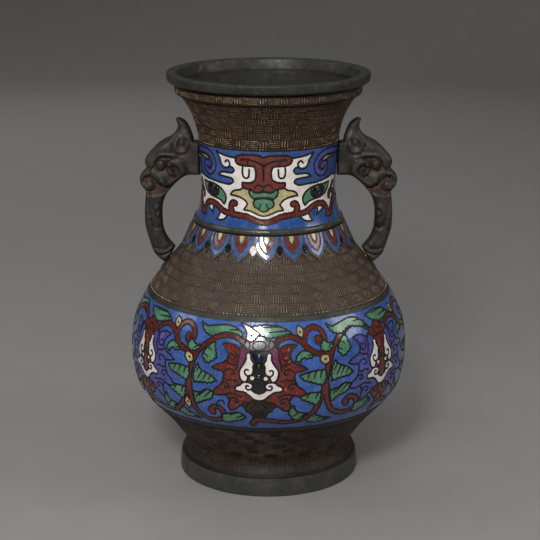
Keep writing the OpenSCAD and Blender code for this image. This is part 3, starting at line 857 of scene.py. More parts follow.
def scroll(art, hand, drop_curl, crotch):
    """Vines, leaves and buds from one flower to the next on its right."""
    curl = [(x, y - drop_curl * min(max((x - 47) / 8, 0), 1)) for x, y in LOW_CURL]
    ribbons = [hand.curve(line) for line in (VINE, ARCH, TOP_CURL, curl)]
    knobs = [hand.point((43.2, 69)), hand.point((curl[-1][0] + 1.4, curl[-1][1] - 1.6))]
    for line in ribbons:
        art.line("wall", line, VINE_WALLED)
    for knob in knobs:
        art.fill("wall", disc(*knob, 3.1, 16))
    for line in ribbons:
        art.line("vine", line, VINE_WIDE)
    for knob in knobs:
        art.fill("vine", disc(*knob, 1.95, 14))
    for data in LEAVES + [TOP_LEAF]:
        leaf(art, hand, data)
    bud(art, hand, TOP_BUD, "yellow", (30.4, 75.6))
    bud(art, hand, SMALL_BUD, "yellow", (46.8, 54.8))
    if crotch:
        bud(art, hand, CROTCH_BUD, "yellow", (44.6, 20))


def flower(art, hand, tags):
    """A lotus flower. tags gives its petals, strips beside the flame, cap, middle and sepal."""
    petal, strip, cap, heart, sepal = tags
    hand.cells(art, petal, PETALS_SIDE)
    for shape in pair(SIDE_STRIP):
        art.fill(strip, smooth(hand.curve(shape)))
    for curl in PETAL_CURLS:
        hand.lines(art, curl)
    hand.middle_cell(art, sepal, SEPAL, 1.2)
    for mark in SEPAL_MARKS:
        hand.lines(art, mark, 0.9)
    hand.middle_cell(art, heart, COLUMN)
    if heart == "dark":
        art.fill("navy", smooth(hand.curve(both(NAVY_PATCH))))
    else:
        art.fill("dark", smooth(hand.curve(both(BLACK_BEAD))))
    hand.middle_cell(art, cap, CAP)
    for mark, width in DARK_CAP_MARKS if heart == "dark" else RED_CAP_MARKS:
        hand.lines(art, mark, width)
    hand.cells(art, "white", FLAME, 1.35)
    hand.lines(art, FLAME_HOOK, 1.3)
    hand.cells(art, "white", DROP, 1.15)
    hand.middle_cell(art, "white", BOAT, 1.35)
    hand.lines(art, BOAT_HOOK, 1.3)


def paint_belly():
    half = HALF_TURN / 2
    art = Painting(-half, half, BELLY.length, "blue")
    stretch = SIDE_GAP - PITCH
    hands = [Hand(0, 2.0), Hand(-PITCH, 5.0, drop=3.0, wander=0.35),
             Hand(PITCH, 8.0, stretch=stretch), Hand(PITCH - HALF_TURN, 8.0, stretch=stretch)]
    for hand in hands:
        under = hand is hands[1]
        scroll(art, hand, 1.2 if under else 0, under)
    art.line("wall", hands[0].curve(LOOSE_CURL), 1.1)
    side_tags = ("petal_b", "petal_b", "cap_b", "cap_b", "cap_b")
    flower(art, Hand(0, 12.0, wander=0.3), ("petal_a", "strip", "cap_a", "dark", "sepal"))
    flower(art, Hand(-PITCH, 14.0, wander=0.4), side_tags)
    flower(art, Hand(PITCH, 16.0, wander=0.4), side_tags)
    for hand in hands[:3]:
        start = hand.curve(VINE_START)
        art.line("wall", start, VINE_WALLED)
        art.fill("wall", disc(*start[0], 3.1, 16))
        art.line("vine", start, VINE_WIDE)
        art.fill("vine", disc(*start[0], 1.9, 14))
    # the bud whose white enamel is painted highlight
    bud(art, hands[0], GLARE_BUD, "white", (-5.9, 73))
    return art


BELLY_LOOKS = {
    "wall": ("walls", M["wall"], "band_bronze", []),
    "blue": ("blue_ground", M["blue"], "enamel_blue", ["belly_ground_enamel"]),
    "vine": ("red_vines", M["vine"], "enamel_red", []),
    "green": ("leaves", M["green"], "enamel_green", ["leaf_enamel"]),
    "yellow": ("buds", M["yellow"], "enamel_yellow", []),
    "white": ("flower_hearts", M["white"], "enamel_white", ["flower_heart_enamel"]),
    "dark": ("dark_hearts", M["dark"], "enamel_dark", []),
    "navy": ("navy_hearts", M["navy"], "enamel_blue", []),
    "sepal": ("sepals", M["sepal"], "band_bronze", []),
    "strip": ("petal_strips", M["plum"], "enamel_purple", []),
    "petal_a": [("red_flowers", M["maroon"], "enamel_red", ["red_flower_enamel"]),
                ("purple_flowers", M["purple"], "enamel_purple", ["purple_flower_enamel"])],
    "petal_b": [("purple_flowers", M["purple"], "enamel_purple", ["purple_flower_enamel"]),
                ("red_flowers", M["maroon"], "enamel_red", ["red_flower_enamel"])],
    "cap_a": [("worn_caps", M["grey"], "enamel_white", []),
              ("red_caps", M["maroon"], "enamel_red", [])],
    "cap_b": [("red_caps", M["maroon"], "enamel_red", []),
              ("worn_caps", M["grey"], "enamel_white", [])],
}
relief_pieces(paint_belly(), BELLY, BELLY_LOOKS, "belly_", 3.4)

# ---------- The neck: a mask on each face
NECK = Band(Z_NECK, Z_FLARE, MASK_R, NECK_TURN)
# The right half of the mask; the face's lower edge runs along the lip
LIP = [(0, 4.9), (3, 5.2), (8, 6.9), (12, 8.6), (18.6, 9.4), (24.6, 10), (30, 10.4), (33.6, 11.6),
       (38, 14), (43.6, 15.4), (48.6, 15), (52.4, 13), (54.4, 9.6), (54.3, 6.6), (57, 6.9),
       (60.6, 11), (64, 13.4), (70, 15.2), (75, 15.6)]
FACE = [(0, 51, C), (20.5, 50.9), (26, 51.4), (31, 52.1), (35, 53), (38.6, 54.3, C), (36.2, 51.4),
        (34.5, 49), (33.6, 45.8), (31.7, 43.6), (28.4, 42.9), (26, 44.2), (23.9, 43.8),
        (22.4, 41.7), (23.6, 39.8), (28, 39.4), (33, 39.2), (37.2, 36.6, C), (31.6, 36.2),
        (26.6, 35.8), (24, 35.3), (22.9, 33.4), (25, 31.5), (33.6, 31.2), (43.6, 31.7),
        (53.6, 32.6), (63.6, 33.6), (72, 33, C), (69, 24), (70, 15.4, C), (64, 13.4), (60.6, 11),
        (57.6, 7.4), (54.5, 7, C)] + LIP[12:0:-1] + [(0, 4.9, C)]
FACE_CURL = [(36.2, 51.2), (34.4, 48.6), (33.6, 45.8), (31.4, 43.4), (28.2, 43), (25.9, 44.8),
             (25.7, 47), (27.6, 48.7), (29.6, 47.2)]
LIP_DROP = [(50, 5.3, C), (52.5, 7.6), (54.6, 9), (57.4, 7.6), (60, 6.2), (58, 5), (54, 4.6)]
LIP_HOOK = [(23.6, 10.2), (24.9, 12.8), (25, 15.6), (23.4, 17.6), (21.8, 17.3)]
LIP_LINES = ((LIP, 2.3), (LIP_HOOK, 2.7))    # with their widths
CHEEK_HOOK = [(63, 14.6), (66, 17.2), (66.2, 20.6), (62.6, 22.6), (59.4, 21.2), (59, 18.6)]
CHEEK_HAIR = [(62.6, 22.6), (63, 25.4), (65.6, 28.4)]
EYE = [(31.8, 15.6, C), (30.3, 18.4), (30.3, 22), (32.8, 25.4), (37, 27.9), (43.6, 29.2),
       (51, 29.1), (58, 29.6, C), (57, 26), (53.8, 22.6), (47.6, 20.4), (40.6, 19.5), (35.6, 18.4)]
NOSE = [(0, 52.1, C), (3.4, 53.2), (11, 53.5), (17.2, 53), (20.3, 51.2), (20.8, 48.8),
        (19.2, 46.6), (15.6, 45.7), (10, 45.4), (6.8, 44.8), (5.9, 42.6), (5.7, 38.4),
        (6.8, 35.2), (9.6, 33.7), (15.8, 33.3, C), (16, 31.2), (15, 29.4, C), (11.8, 28.8),
        (9, 28.6), (7.4, 26.9), (4.6, 26.4), (2, 27), (0, 28.4, C)]
NOSE_MARKS = [([(16.4, 49.9), (12.6, 50), (9, 49.7), (5.4, 48.6), (2, 46.9), (0.1, 44.6)], 1.45),
              ([(11.3, 49.7), (11.6, 47.6), (11, 45.8)], 1.2),
              ([(1, 30.8), (3.2, 32), (5.8, 31.4), (6.6, 29.6)], 1.2)]
BOX_LINE = [(15.5, 45.4), (15.8, 40), (14.9, 37.3), (12.9, 36.5), (11.3, 37.7), (10.9, 40),
            (10.7, 43)]
JAW = [(0, 28, C), (10.6, 28.3), (14, 29.4), (15.8, 29.1), (17.6, 27.8), (21.8, 26.9), (24, 25.6),
       (25.8, 23.2, C), (21.6, 22.9), (16, 21.4), (13.4, 19.4), (12.2, 17.6, C), (13.4, 15.6),
       (14.8, 13.4, C), (10.6, 12.9), (6.6, 11.4), (3, 10), (0, 9.4, C)]
CUP = [(0, 27, C), (4, 26.4), (8.4, 28.7), (10.9, 27), (10, 24), (7.6, 21.6, C), (3.6, 22.6),
       (0, 22.7, C)]
TREFOIL = [(0, 22.4, C), (4, 21.8), (7.2, 20.4), (7.9, 18.2), (6.8, 15.8), (4.6, 15), (3.1, 13.6),
           (0, 12.5, C)]
TREFOIL_VEIN = [(2.3, 18), (2.5, 16.6), (3.3, 15.1)]
FANG_NEAR = [(27.8, 7.9), (30.4, 9.3), (34.4, 9.4), (35.4, 6.4), (37.4, 4.2, C), (32.6, 4.3),
             (29.4, 5.7)]
FANG_FAR = [(43.2, 13.4), (49.8, 12.3, C), (47, 10.4), (44, 8.9), (41.4, 7.4, C), (43, 10)]
BROW = [(75, 51.4), (66, 51.6), (58, 52.3), (50.6, 51.9), (44.4, 49.4), (41.7, 44.9),
        (43, 40.2), (46.8, 37.4), (50.8, 38), (53.2, 40.8), (52.2, 43.6), (49.4, 44.2),
        (48, 42.4)]
BROW_FILL = [(47.6, 46.9, C), (50.4, 49.2), (56, 49.4), (61.6, 48.8), (64, 47.6, C), (58.6, 47.4),
             (53.4, 46.8), (50, 46)]
PUPIL = (44.3, 24.7)    # the pupil's middle, then its half sizes
PUPIL_WIDE = 7.2
PUPIL_HIGH = 4.9


def paint_neck():
    half = math.pi * MASK_R / 2
    art = Painting(-half, half, NECK.length, "blue")
    steady = Hand(0, 21.0, wander=0.25)
    steady.ribbons(art, "purple", BROW, 3.1, 1.3)
    steady.cells(art, "yellow", BROW_FILL, 1.4)
    steady.middle_cell(art, "white", FACE, 1.5)
    steady.lines(art, FACE_CURL, 1.5)
    steady.cells(art, "green", EYE, 1.5)
    for side_of in (1, -1):
        x, y = steady.point((PUPIL[0] * side_of, PUPIL[1]))
        ring = disc(0, 0, 1, 28)
        art.fill("wall", [(x + a * (PUPIL_WIDE + 0.7), y + b * (PUPIL_HIGH + 0.6)) for a, b in ring])
        art.fill("dark", [(x + a * PUPIL_WIDE, y + b * PUPIL_HIGH) for a, b in ring])
    steady.cells(art, "white", FANG_NEAR, 1.4)
    steady.cells(art, "white", FANG_FAR, 1.4)
    steady.ribbons(art, "red", CHEEK_HOOK, 2.3)
    steady.ribbons(art, "red", CHEEK_HAIR, 1.6)
    for line, width in LIP_LINES:
        steady.lines(art, line, width + 2.6)
    steady.cells(art, "red", LIP_DROP, 1.2)
    for line, width in LIP_LINES:
        steady.lines(art, line, width, "red")
    steady.middle_cell(art, "yellow", JAW, 1.4)
    steady.middle_cell(art, "green", CUP, 1.35)
    steady.middle_cell(art, "green", TREFOIL, 1.35)
    steady.lines(art, TREFOIL_VEIN, 1.0)
    steady.middle_cell(art, "red", NOSE, 1.5)
    for line, width in NOSE_MARKS:
        steady.lines(art, line, width)
    for high_y, low_y, width in ((47, 35.4, 1.5), (31.4, 28.4, 1.0)):
        art.line("wall", steady.curve([(0, high_y), (0, low_y)]), width)
    steady.lines(art, BOX_LINE, 1.45)
    return art


NECK_LOOKS = {
    "wall": ("walls", M["wall"], "band_bronze", []),
    "blue": ("blue_ground", M["neck_blue"], "enamel_blue", ["neck_ground_enamel"]),
    "white": ("faces", M["white"], "enamel_white", ["mask_face_enamel"]),
    "red": ("noses_and_lips", M["red"], "enamel_red", ["mask_nose_enamel"]),
    "yellow": ("jaws", M["yellow"], "enamel_yellow", ["mask_jaw_enamel"]),
    "green": ("eyes_and_collars", M["green"], "enamel_green", ["mask_eye_enamel"]),
    "dark": ("pupils", M["dark"], "enamel_dark", []),
    "purple": ("brow_scrolls", M["purple"], "enamel_purple", []),
}
relief_pieces(paint_neck(), NECK, NECK_LOOKS, "mask_", 2.6)


def raised_beads(name, band, beads, edge, rise, material, slot):
    """Domed glass beads, each given by its middle and half sizes, with a ring cut round it."""
    rings, around = 9, 24
    parts = []
    for turn in BOTH_FACES:
        for mid_u, mid_v, wide, high in beads:
            u, v, h = [], [], []
            for k in range(rings + 1):
                t = k / rings
                dome = math.sqrt(1 - t * t) - 0.33 * math.exp(-((t - 0.45) / 0.1) ** 2)
                for i in range(around if k else 1):
                    a = 2 * math.pi * i / around
                    u.append(mid_u + wide * t * math.cos(a))
                    v.append(mid_v + high * t * math.sin(a))
                    h.append(edge + rise * dome)
            n = len(u)
            under = band.place(np.array([mid_u]), np.array([mid_v]), -0.9, turn)
            verts = np.concatenate([band.place(np.array(u), np.array(v), np.array(h), turn), under])
            faces = [(0, 1 + i, 1 + (i + 1) % around) for i in range(around)]
            for k in range(rings - 1):
                p, q = 1 + k * around, 1 + (k + 1) * around
                faces += [(p + i, q + i, q + (i + 1) % around, p + (i + 1) % around)
                          for i in range(around)]
            p = 1 + (rings - 1) * around
            faces += [(p + i, n, p + (i + 1) % around) for i in range(around)]
            parts.append((verts, faces))
    verts, faces = join(parts)
    mesh_piece(name, verts, faces, material, slot, (), 60)


raised_beads("mask_pupil_beads", NECK,
             [(side_of * PUPIL[0], PUPIL[1], 0.86 * PUPIL_WIDE, 0.86 * PUPIL_HIGH)
              for side_of in (1, -1)], -0.3, 1.5, M["dark"], "enamel_dark")
raised_beads("heart_beads", BELLY, [(0, 50.6, 2.4, 2.7), (0, 43.6, 2.7, 2.4), (0, 37, 3.0, 3.5)],
             -0.72, 0.68, M["dark"], "enamel_dark")
raised_beads("heart_top_beads", BELLY, [(0, 57.4, 2.5, 3.4)], -0.72, 0.7, M["navy"], "enamel_blue")

# ---------- The petal collar
PETALS = 20
PETAL_PITCH = 2 * math.pi * PETAL_R / PETALS
COLLAR = Band(Z_PETALS, Z_COLLAR, PETAL_R, COLLAR_TURN)


def petal_line(tip, half_width, top):
    """Right half of a petal hanging from the top edge down to its tip."""
    rise = top - tip
    return [(half_width, top, C), (half_width * 0.97, tip + rise * 0.72),
            (half_width * 0.8, tip + rise * 0.44), (half_width * 0.46, tip + rise * 0.2),
            (0, tip, C)]


def paint_petal():
    half = PETAL_PITCH / 2
    top = COLLAR.length
    art = Painting(-half, half, top, "gap")

    def hang(tag, tip, half_width, x=0.0):
        art.fill(tag, smooth(moved(both_up(petal_line(tip, half_width, top + 0.5)), x), True, 1.2))

    for x in (-half, half):
        hang("wall", 3.9, 5.2, x)
    hang("wall", 1.2, 9.6)
    hang("blue", 3.9, 8.3)
    hang("wall", 6.9, 6.4)
    hang("red", 8.6, 5.2)
    hang("wall", 12.8, 3.0)
    hang("yellow", 14.8, 1.8)
    for x, tag in ((-half, "small_left"), (half, "small_right")):
        art.fill(tag, smooth([(x, 6.2, C), (x + 1.9, 8.4), (x + 2.5, 10.6), (x + 1.5, 12.8),
                              (x, 14, C), (x - 1.5, 12.8), (x - 2.5, 10.6), (x - 1.9, 8.4)],
                             True, 1.2))
    return art


def petal_pieces():
    art = paint_petal()
    points, corners, tags = art.triangles(2.4)
    proud = {"wall": 0.55, "blue": 0.3, "red": 0.3, "yellow": 0.3, "small_left": 0.25,
             "small_right": 0.25}
    looks = {
        "wall": ("rims", M["petal_rim"], "band_bronze", ["petal_rims"]),
        "blue": ("blue", M["blue"], "enamel_blue", ["petal_outer_enamel"]),
        "red": ("red", M["red"], "enamel_red", ["petal_inner_enamel"]),
        "yellow": ("yellow", M["yellow"], "enamel_yellow", ["petal_core_enamel"]),
        "dark": ("dark", M["dark"], "enamel_dark", ["small_petal_enamel"]),
        "white": ("white", M["white"], "enamel_white", []),
    }
    shared = {tag: corners[tags == tag] for tag in proud}
    tip = 0.35 * np.exp(-points[:, 1] / 4)    # the tips stand off the collar a little more
    groups = {}
    for k in range(PETALS):
        turn = 2 * math.pi * k / PETALS
        ripple = waves(points + k * 30, 2.0, 0.08, 6.0)
        for tag, tri in shared.items():
            name = tag
            if tag == "small_left":
                name = "white" if k % 10 == 0 else "dark"
            if tag == "small_right":
                name = "white" if k % 10 == 9 else "dark"

            def top(i, lift=proud[tag], turn=turn, ripple=ripple):
                return COLLAR.place(points[i, 0], points[i, 1], lift + ripple[i] + tip[i], turn)

            def bottom(i, turn=turn):
                return COLLAR.place(points[i, 0], points[i, 1], -1.6, turn)
            groups.setdefault(name, []).append(closed_relief(points, tri, top, bottom))
    for name, solids in groups.items():
        verts, faces = join(solids)
        entry = looks[name]
        mesh_piece("petal_" + entry[0], verts, faces, *entry[1:])


petal_pieces()

# ---------- Castings turned on the vase's axis
RING_R = widest("neck_collar_ring")
FOOT_R = widest("foot_ring")
FOOT_W = 7.3


def stepped(z0, z1, steps):
    """Profile of a casting whose outside has flat bands: steps are (height, inset) from below."""
    outer = []
    for (za, inset), (zb, _) in zip(steps, steps[1:] + [(z1, 0)]):
        outer += side(za, zb, inset)
    return outer + side(z0, z1, WALL)[::-1]


lathe("foot_ring_cast",
      [(FOOT_R - FOOT_W, 0.8), (FOOT_R - FOOT_W + 0.8, 0), (FOOT_R - 1.2, 0), (FOOT_R - 0.3, 0.5),
       (FOOT_R, 1.6), (FOOT_R - 0.1, 6), (FOOT_R - 0.5, 11.6), (FOOT_R - 0.8, Z_FOOT - 0.7),
       (FOOT_R - 1.5, Z_FOOT - 0.15), (FOOT_R - 2.2, Z_FOOT), (FOOT_R - FOOT_W, Z_FOOT)],
      M["foot"], "foot_bronze", ["foot_ring"], wobble=0.18, seed=1)
lathe("foot_cast",
      stepped(Z_FOOT, Z_BELLY_FOOT, [(Z_FOOT, 0.9), (Z_FOOT + 0.9, 0.2), (Z_FOOT + 2.4, 0.25),
                                     (Z_FOOT + 2.6, GROUND), (Z_BELLY_FOOT - 1.6, GROUND + 0.1),
                                     (Z_BELLY_FOOT - 1.4, 0.1)]),
      M["foot_ground"], "fret_bronze", ["foot_casting", "foot_flare_casting"], wobble=0.04, seed=2)
lathe("belly_cast",
      stepped(Z_BELLY_FOOT, Z_SHOULDER, [(Z_BELLY_FOOT, 0.12), (Z_BELLY_LOW - 0.3, 0.05),
                                         (Z_BELLY_LOW, SINK), (Z_BELLY_HIGH, SINK),
                                         (Z_BELLY_HIGH + 0.05, 0.08), (Z_SHOULDER - 0.4, 0.1)]),
      M["band"], "band_bronze",
      ["belly_low_casting", "belly_casting", "belly_high_casting"], wobble=0.05, seed=3)
lathe("shoulder_cast",
      stepped(Z_SHOULDER, Z_PETALS, [(Z_SHOULDER, 0.1), (Z_SHOULDER + 0.5, 0.15),
                                     (Z_SHOULDER + 0.6, GROUND), (Z_PETALS - 0.1, GROUND)]),
      M["ground"], "fret_bronze", ["shoulder_casting"], wobble=0.04, seed=4)
lathe("petal_collar_cast",
      stepped(Z_PETALS, Z_COLLAR, [(Z_PETALS, GROUND + 0.1), (Z_PETALS + 4, 0.9),
                                   (Z_COLLAR - 0.4, 0.9)]),
      M["ground"], "fret_bronze", ["petal_collar_casting"], wobble=0.1, seed=5)
ring_mid = (Z_COLLAR + Z_NECK) / 2
ring_half = (Z_NECK - Z_COLLAR) / 2
lathe("neck_ring_cast",
      [(radius_at(Z_COLLAR) - WALL, Z_COLLAR), (radius_at(Z_COLLAR) - 0.2, Z_COLLAR)]
      + arc(RING_R - ring_half, ring_mid, ring_half, -78, 78, 12)
      + [(radius_at(Z_NECK) - 0.2, Z_NECK), (radius_at(Z_NECK) - WALL, Z_NECK)],
      M["ring"], "band_bronze", ["neck_collar_ring"], wobble=0.1, seed=6)
lathe("neck_cast",
      stepped(Z_NECK, Z_FLARE, [(Z_NECK, SINK), (Z_FLARE - 0.4, SINK)]),
      M["rim"], "band_bronze", ["neck_casting"], wobble=0.05, seed=7)
throat = [(64.6, 294), (radius_at(Z_THROAT + 0.5) - WALL, Z_THROAT + 0.5)]
lathe("flare_cast",
      side(Z_FLARE, Z_FLARE + 0.4, 0.02) + side(Z_FLARE + 0.5, Z_RIDGE - 0.8, GROUND)
      + [(67.2, Z_RIDGE), (68.1, Z_RIDGE + 0.6), (RIDGE_R, Z_RIDGE + 1.4), (RIDGE_R, Z_LIP - 0.8),
         (67.9, Z_LIP), (64.9, Z_LIP)] + throat + side(Z_FLARE, Z_THROAT, WALL)[::-1],
      M["neck_ground"], "fret_bronze", ["neck_flare_casting", "mouth_band_casting"],
      wobble=0.04, seed=8)
lathe("mouth_rim_cast",
      [(65.2, Z_LIP), (68, Z_LIP), (70.5, Z_LIP + 0.5), (72.8, Z_LIP + 1.2), (LIP_R - 0.7, Z_LIP + 2),
       (LIP_R - 0.2, Z_LIP + 3)]
      + arc(LIP_R - 1.2, Z_TOP - 1.2, 1.2, 0, 90, 6)
      + [(67.6, Z_TOP - 0.25), (66.9, Z_TOP - 0.5), (66.5, Z_TOP - 1.2), (66, Z_LIP + 3),
         (65.2, Z_LIP + 1)],
      M["rim"], "band_bronze", ["mouth_rim"], wobble=0.16, seed=9)
# The dark inside of the neck
lining = side(Z_NECK + 2, Z_THROAT, WALL + 0.1) + [(64.4, 293.9)]
lathe("throat_lining", [(r + 0.35, z) for r, z in lining] + lining[::-1], M["throat"],
      "band_bronze", (), wobble=0.05, seed=10)

# ---------- Fret: key-pattern lines standing on the brown grounds
UPRIGHTS = 3
UPRIGHT_GAP = 1.9


def key_unit(block, height, lines):
    """Lines of one repeat: a block of nested level bars joined at their ends, then uprights.

    Each line has its two ends and how much wider than the others it is.
    """
    out = []
    gap = height / lines
    for k in range(lines):
        depth = min(k, lines - 1 - k)
        y = gap * (k + 0.5)
        left = depth * gap * (0.9 if k < lines / 2 else 0.2)
        right = block - depth * gap * (0.2 if k < lines / 2 else 0.9)
        out.append(((left, y), (right, y), 1.0))
    for k in range(lines // 2):
        x = k * gap * 0.9
        low_y, high_y = gap * (k + 0.5), gap * (lines - k - 0.5)
        out.append(((x, low_y), (x, high_y - gap), 1.0))
        out.append(((block - x, low_y + gap), (block - x, high_y), 1.0))
    for k in range(UPRIGHTS):
        x = block + UPRIGHT_GAP * (k + 0.85)
        out.append(((x, gap * 0.2), (x, height - gap * 0.2), 1.35))
    return out


class Fret:
    """Bars of one band and how rubbed each of their points is."""

    def __init__(self, z0, z1, ref_r, radius=radius_at):
        self.band = Band(z0, z1, ref_r, 0.0, radius)
        self.radius = radius
        self.verts, self.faces, self.wear = [], [], []

    def bar(self, a, b, width, rise, wear):
        """A low bar with sloping sides from a to b."""
        ax, ay, bx, by = *a, *b
        d = math.hypot(bx - ax, by - ay)
        if d < 0.2:
            return
        ex, ey = (bx - ax) / d, (by - ay) / d
        nx, ny = -ey, ex
        parts = max(1, round(d / 4))
        base = sum(len(v) for v in self.verts)
        u, v, h, w = [], [], [], []
        for i in range(parts + 1):
            t = i / parts
            end = 0.35 * width * (1 if i == 0 else -1 if i == parts else 0)
            bend = 0.16 * noise.noise(Vector((ax + t * 7, ay * 1.7, 2.0)))
            x, y = ax + (bx - ax) * t + nx * bend, ay + (by - ay) * t + ny * bend
            for k, (off, lift) in enumerate(((-0.5, -0.3), (-0.27, rise), (0.27, rise), (0.5, -0.3))):
                pull = end if 0 < k < 3 else 0.0
                u.append(x + nx * off * width + ex * pull)
                v.append(y + ny * off * width + ey * pull)
                h.append(lift - GROUND)
                w.append(wear if 0 < k < 3 else wear * 0.3)
        self.verts.append(self.band.place(np.array(u), np.array(v), np.array(h)))
        self.wear += w
        for i in range(parts):
            p = base + 4 * i
            for k in range(3):
                self.faces.append((p + k, p + 4 + k, p + 5 + k, p + k + 1))
            self.faces.append((p + 3, p + 7, p + 4, p))
        p = base + 4 * parts
        self.faces.append((base, base + 1, base + 2, base + 3))
        self.faces.append((p + 3, p + 2, p + 1, p))

    def row(self, v, height, blocks, lines, shift, width, rise, wear, seed):
        """One row of repeats at height v of the band; blocks gives the two widths of block."""
        z = float(np.interp(v, self.band.s, self.band.z))
        around = 2 * math.pi * self.radius(z)
        uprights = UPRIGHT_GAP * (UPRIGHTS + 0.7)
        count = round(around / (sum(blocks) / 2 + uprights))
        wide = [noise.noise(Vector((i * 0.83, seed, 4.5))) > 0 for i in range(count)]
        sizes = [blocks[int(w)] * (1 + 0.1 * noise.noise(Vector((i * 1.7, seed, 9.5))))
                 for i, w in enumerate(wide)]
        scale = 2 * math.pi * self.band.ref_r / (sum(sizes) + count * uprights)
        left = shift * (blocks[0] + uprights)
        for i, size in enumerate(sizes):
            turn = noise.noise(Vector((i * 0.71, seed, 0.5)))
            level = noise.noise(Vector((i * 0.43, seed, 7.5)))
            worn = wear * (0.7 + 0.6 * noise.noise(Vector((i * 0.31, seed * 3.0, 1.5))))
            for a, b, broad in key_unit(size, height, lines):
                j = 0.12 * noise.noise(Vector((a[0] + i * 3.1, a[1] * 2.0, seed)))
                a, b = (((left + q[0] + turn * 0.4) * scale, v + q[1] + level * 0.25 + j)
                        for q in (a, b))
                lift = (rise if broad == 1 else 0.65 * rise) * (0.9 + 0.25 * turn)
                self.bar(a, b, width * broad, lift, worn + 0.6 * max(broad - 1, 0))
            left += size + uprights

    def beads(self, v, pitch, width, rise, seed):
        """A rubbed row of short dashes along the band's lower edge."""
        count = round(2 * math.pi * self.band.ref_r / pitch)
        step = 2 * math.pi * self.band.ref_r / count
        for i in range(count):
            size = 0.62 + 0.3 * noise.noise(Vector((i * 0.57, seed, 2.5)))
            worn = 1.3 * noise.noise(Vector((i * 0.13, seed, 8.5))) + 0.35
            u = i * step
            self.bar((u, v), (u + size * step, v), width, rise, min(max(worn, 0), 1))


def fret_zone(name, look, z0, z1, ref_r, rows, blocks, lines, width, rise, edge, wear,
              radius=radius_at):
    """A band of rows; edge is the height of the dashes on its lower edge, where it has them.

    wear gives how rubbed the lowest row is and how rubbed the others are.
    """
    fret = Fret(z0, z1, ref_r, radius)
    first = edge + 1.1 if edge else 0.3
    pitch = (fret.band.length - first - 0.3) / rows
    for k in range(rows):
        fret.row(first + pitch * k, pitch * 0.97, blocks, lines, 0.5 * (k % 2) + 0.13 * k, width,
                 rise, wear[min(k, 1)], 3.0 + k)
    if edge:
        fret.beads(edge, 2.4, 1.3, rise + 0.25, 5.0)
    mesh_piece(name, np.concatenate(fret.verts), fret.faces, M[look], "fret_bronze", (), 30,
               {"wear": fret.wear})


fret_zone("shoulder_fret", "fret", Z_SHOULDER + 0.6, Z_PETALS + 7.5, 76, 6, (7.5, 12), 6, 0.6,
          0.3, 0.9, (0.1, 0.05))
fret_zone("neck_fret", "neck_fret", Z_FLARE + 0.5, Z_RIDGE - 1, 56, 6, (7.5, 11), 4, 0.7,
          0.36, 0.9, (0.7, 0.1))
fret_zone("mouth_fret", "neck_fret", Z_RIDGE + 1.2, Z_LIP - 1, 68, 1, (7.5, 11), 4, 0.78,
          0.36, 0, (0.45, 0.45), lambda z: RIDGE_R + GROUND)
fret_zone("foot_fret", "foot_fret", Z_FOOT + 2.9, Z_BELLY_FOOT - 1.8, 72, 8, (12, 18), 5, 0.6,
          0.3, 0, (0.1, 0.1))

# ---------- Handles: beast heads whose straps run down to the shoulder
HANDLE = [
    (50.3, 253.6, C), (54.8, 253.9, C), (55.2, 256.4), (56.3, 259.8), (57.9, 264), (59.5, 266.9),
    (61.5, 268.9), (63.9, 270.4), (66.2, 270.9), (67.9, 269.8, C), (67, 267.6), (66.6, 264.8),
    (67.2, 262), (68.8, 259.6), (71.5, 257.3), (76.5, 254.9), (79.8, 252.7), (83.2, 249.7),
    (86.9, 245.7), (89.6, 242.4), (91.1, 239.4), (91, 236.8), (89.9, 233.4, C), (92.2, 231.2),
    (94.6, 227.8), (95.2, 224.4), (94.4, 220.8), (92.3, 217.8), (90.6, 215.4, C), (91.2, 211.2),
    (91.8, 204), (92, 196), (91.6, 189), (90.2, 183.2), (88.6, 178), (87, 172.9), (84.8, 168),
    (81.4, 164.4), (78.6, 162.2), (76.4, 160.6, C), (69.6, 173.6, C), (71.9, 176.4), (74.6, 179.8),
    (76.8, 183.8), (78.2, 188.4), (78.7, 193), (78.9, 199), (78.5, 205), (77.4, 209.5),
    (75.6, 213.6), (73, 217.2), (69.6, 221), (66.4, 224), (63.2, 226.4), (60, 227.8), (56, 228.2),
    (50.3, 228.4, C)]
HANDLE_HALF = 6.4


def ease(x):
    x = np.clip(x, 0, 1)
    return x * x * (3 - 2 * x)


class Relief:
    """Height of a handle's side over its middle plane, built up from ridges, grooves and bumps."""

    def __init__(self, points, outline):
        self.points = points
        self.edge = gap_to(points, outline, closed=True)
        self.carve = np.zeros(len(points))

    def along(self, line, width):
        return gap_to(self.points, smooth(line, False)) / width

    def about(self, x, y, rx, ry):
        return np.hypot((self.points[:, 0] - x) / rx, (self.points[:, 1] - y) / ry)

    def groove(self, line, depth, width):
        """A line cut with soft edges."""
        self.carve -= depth * np.exp(-self.along(line, width) ** 2)

    def ridge(self, line, rise, width):
        """A raised line with a round top."""
        self.carve += rise * np.sqrt(np.clip(1 - self.along(line, width) ** 2, 0, 1))

    def bump(self, x, y, rx, ry, rise):
        """A round knob with a clear edge."""
        self.carve += rise * np.sqrt(np.clip(1 - self.about(x, y, rx, ry) ** 2, 0, 1))

    def swell(self, x, y, rx, ry, rise):
        """A soft rise with no edge."""
        self.carve += rise * np.exp(-self.about(x, y, rx, ry) ** 2)

    def sink(self, area_points, depth, soft):
        """An area that lies lower than what is round it."""
        poly = np.array([q[:2] for q in smooth(area_points)])
        d = gap_to(self.points, poly, closed=True)
        d = np.where(inside_polygon(self.points, poly), d, -d)
        self.carve -= depth * ease(0.5 + d / soft)


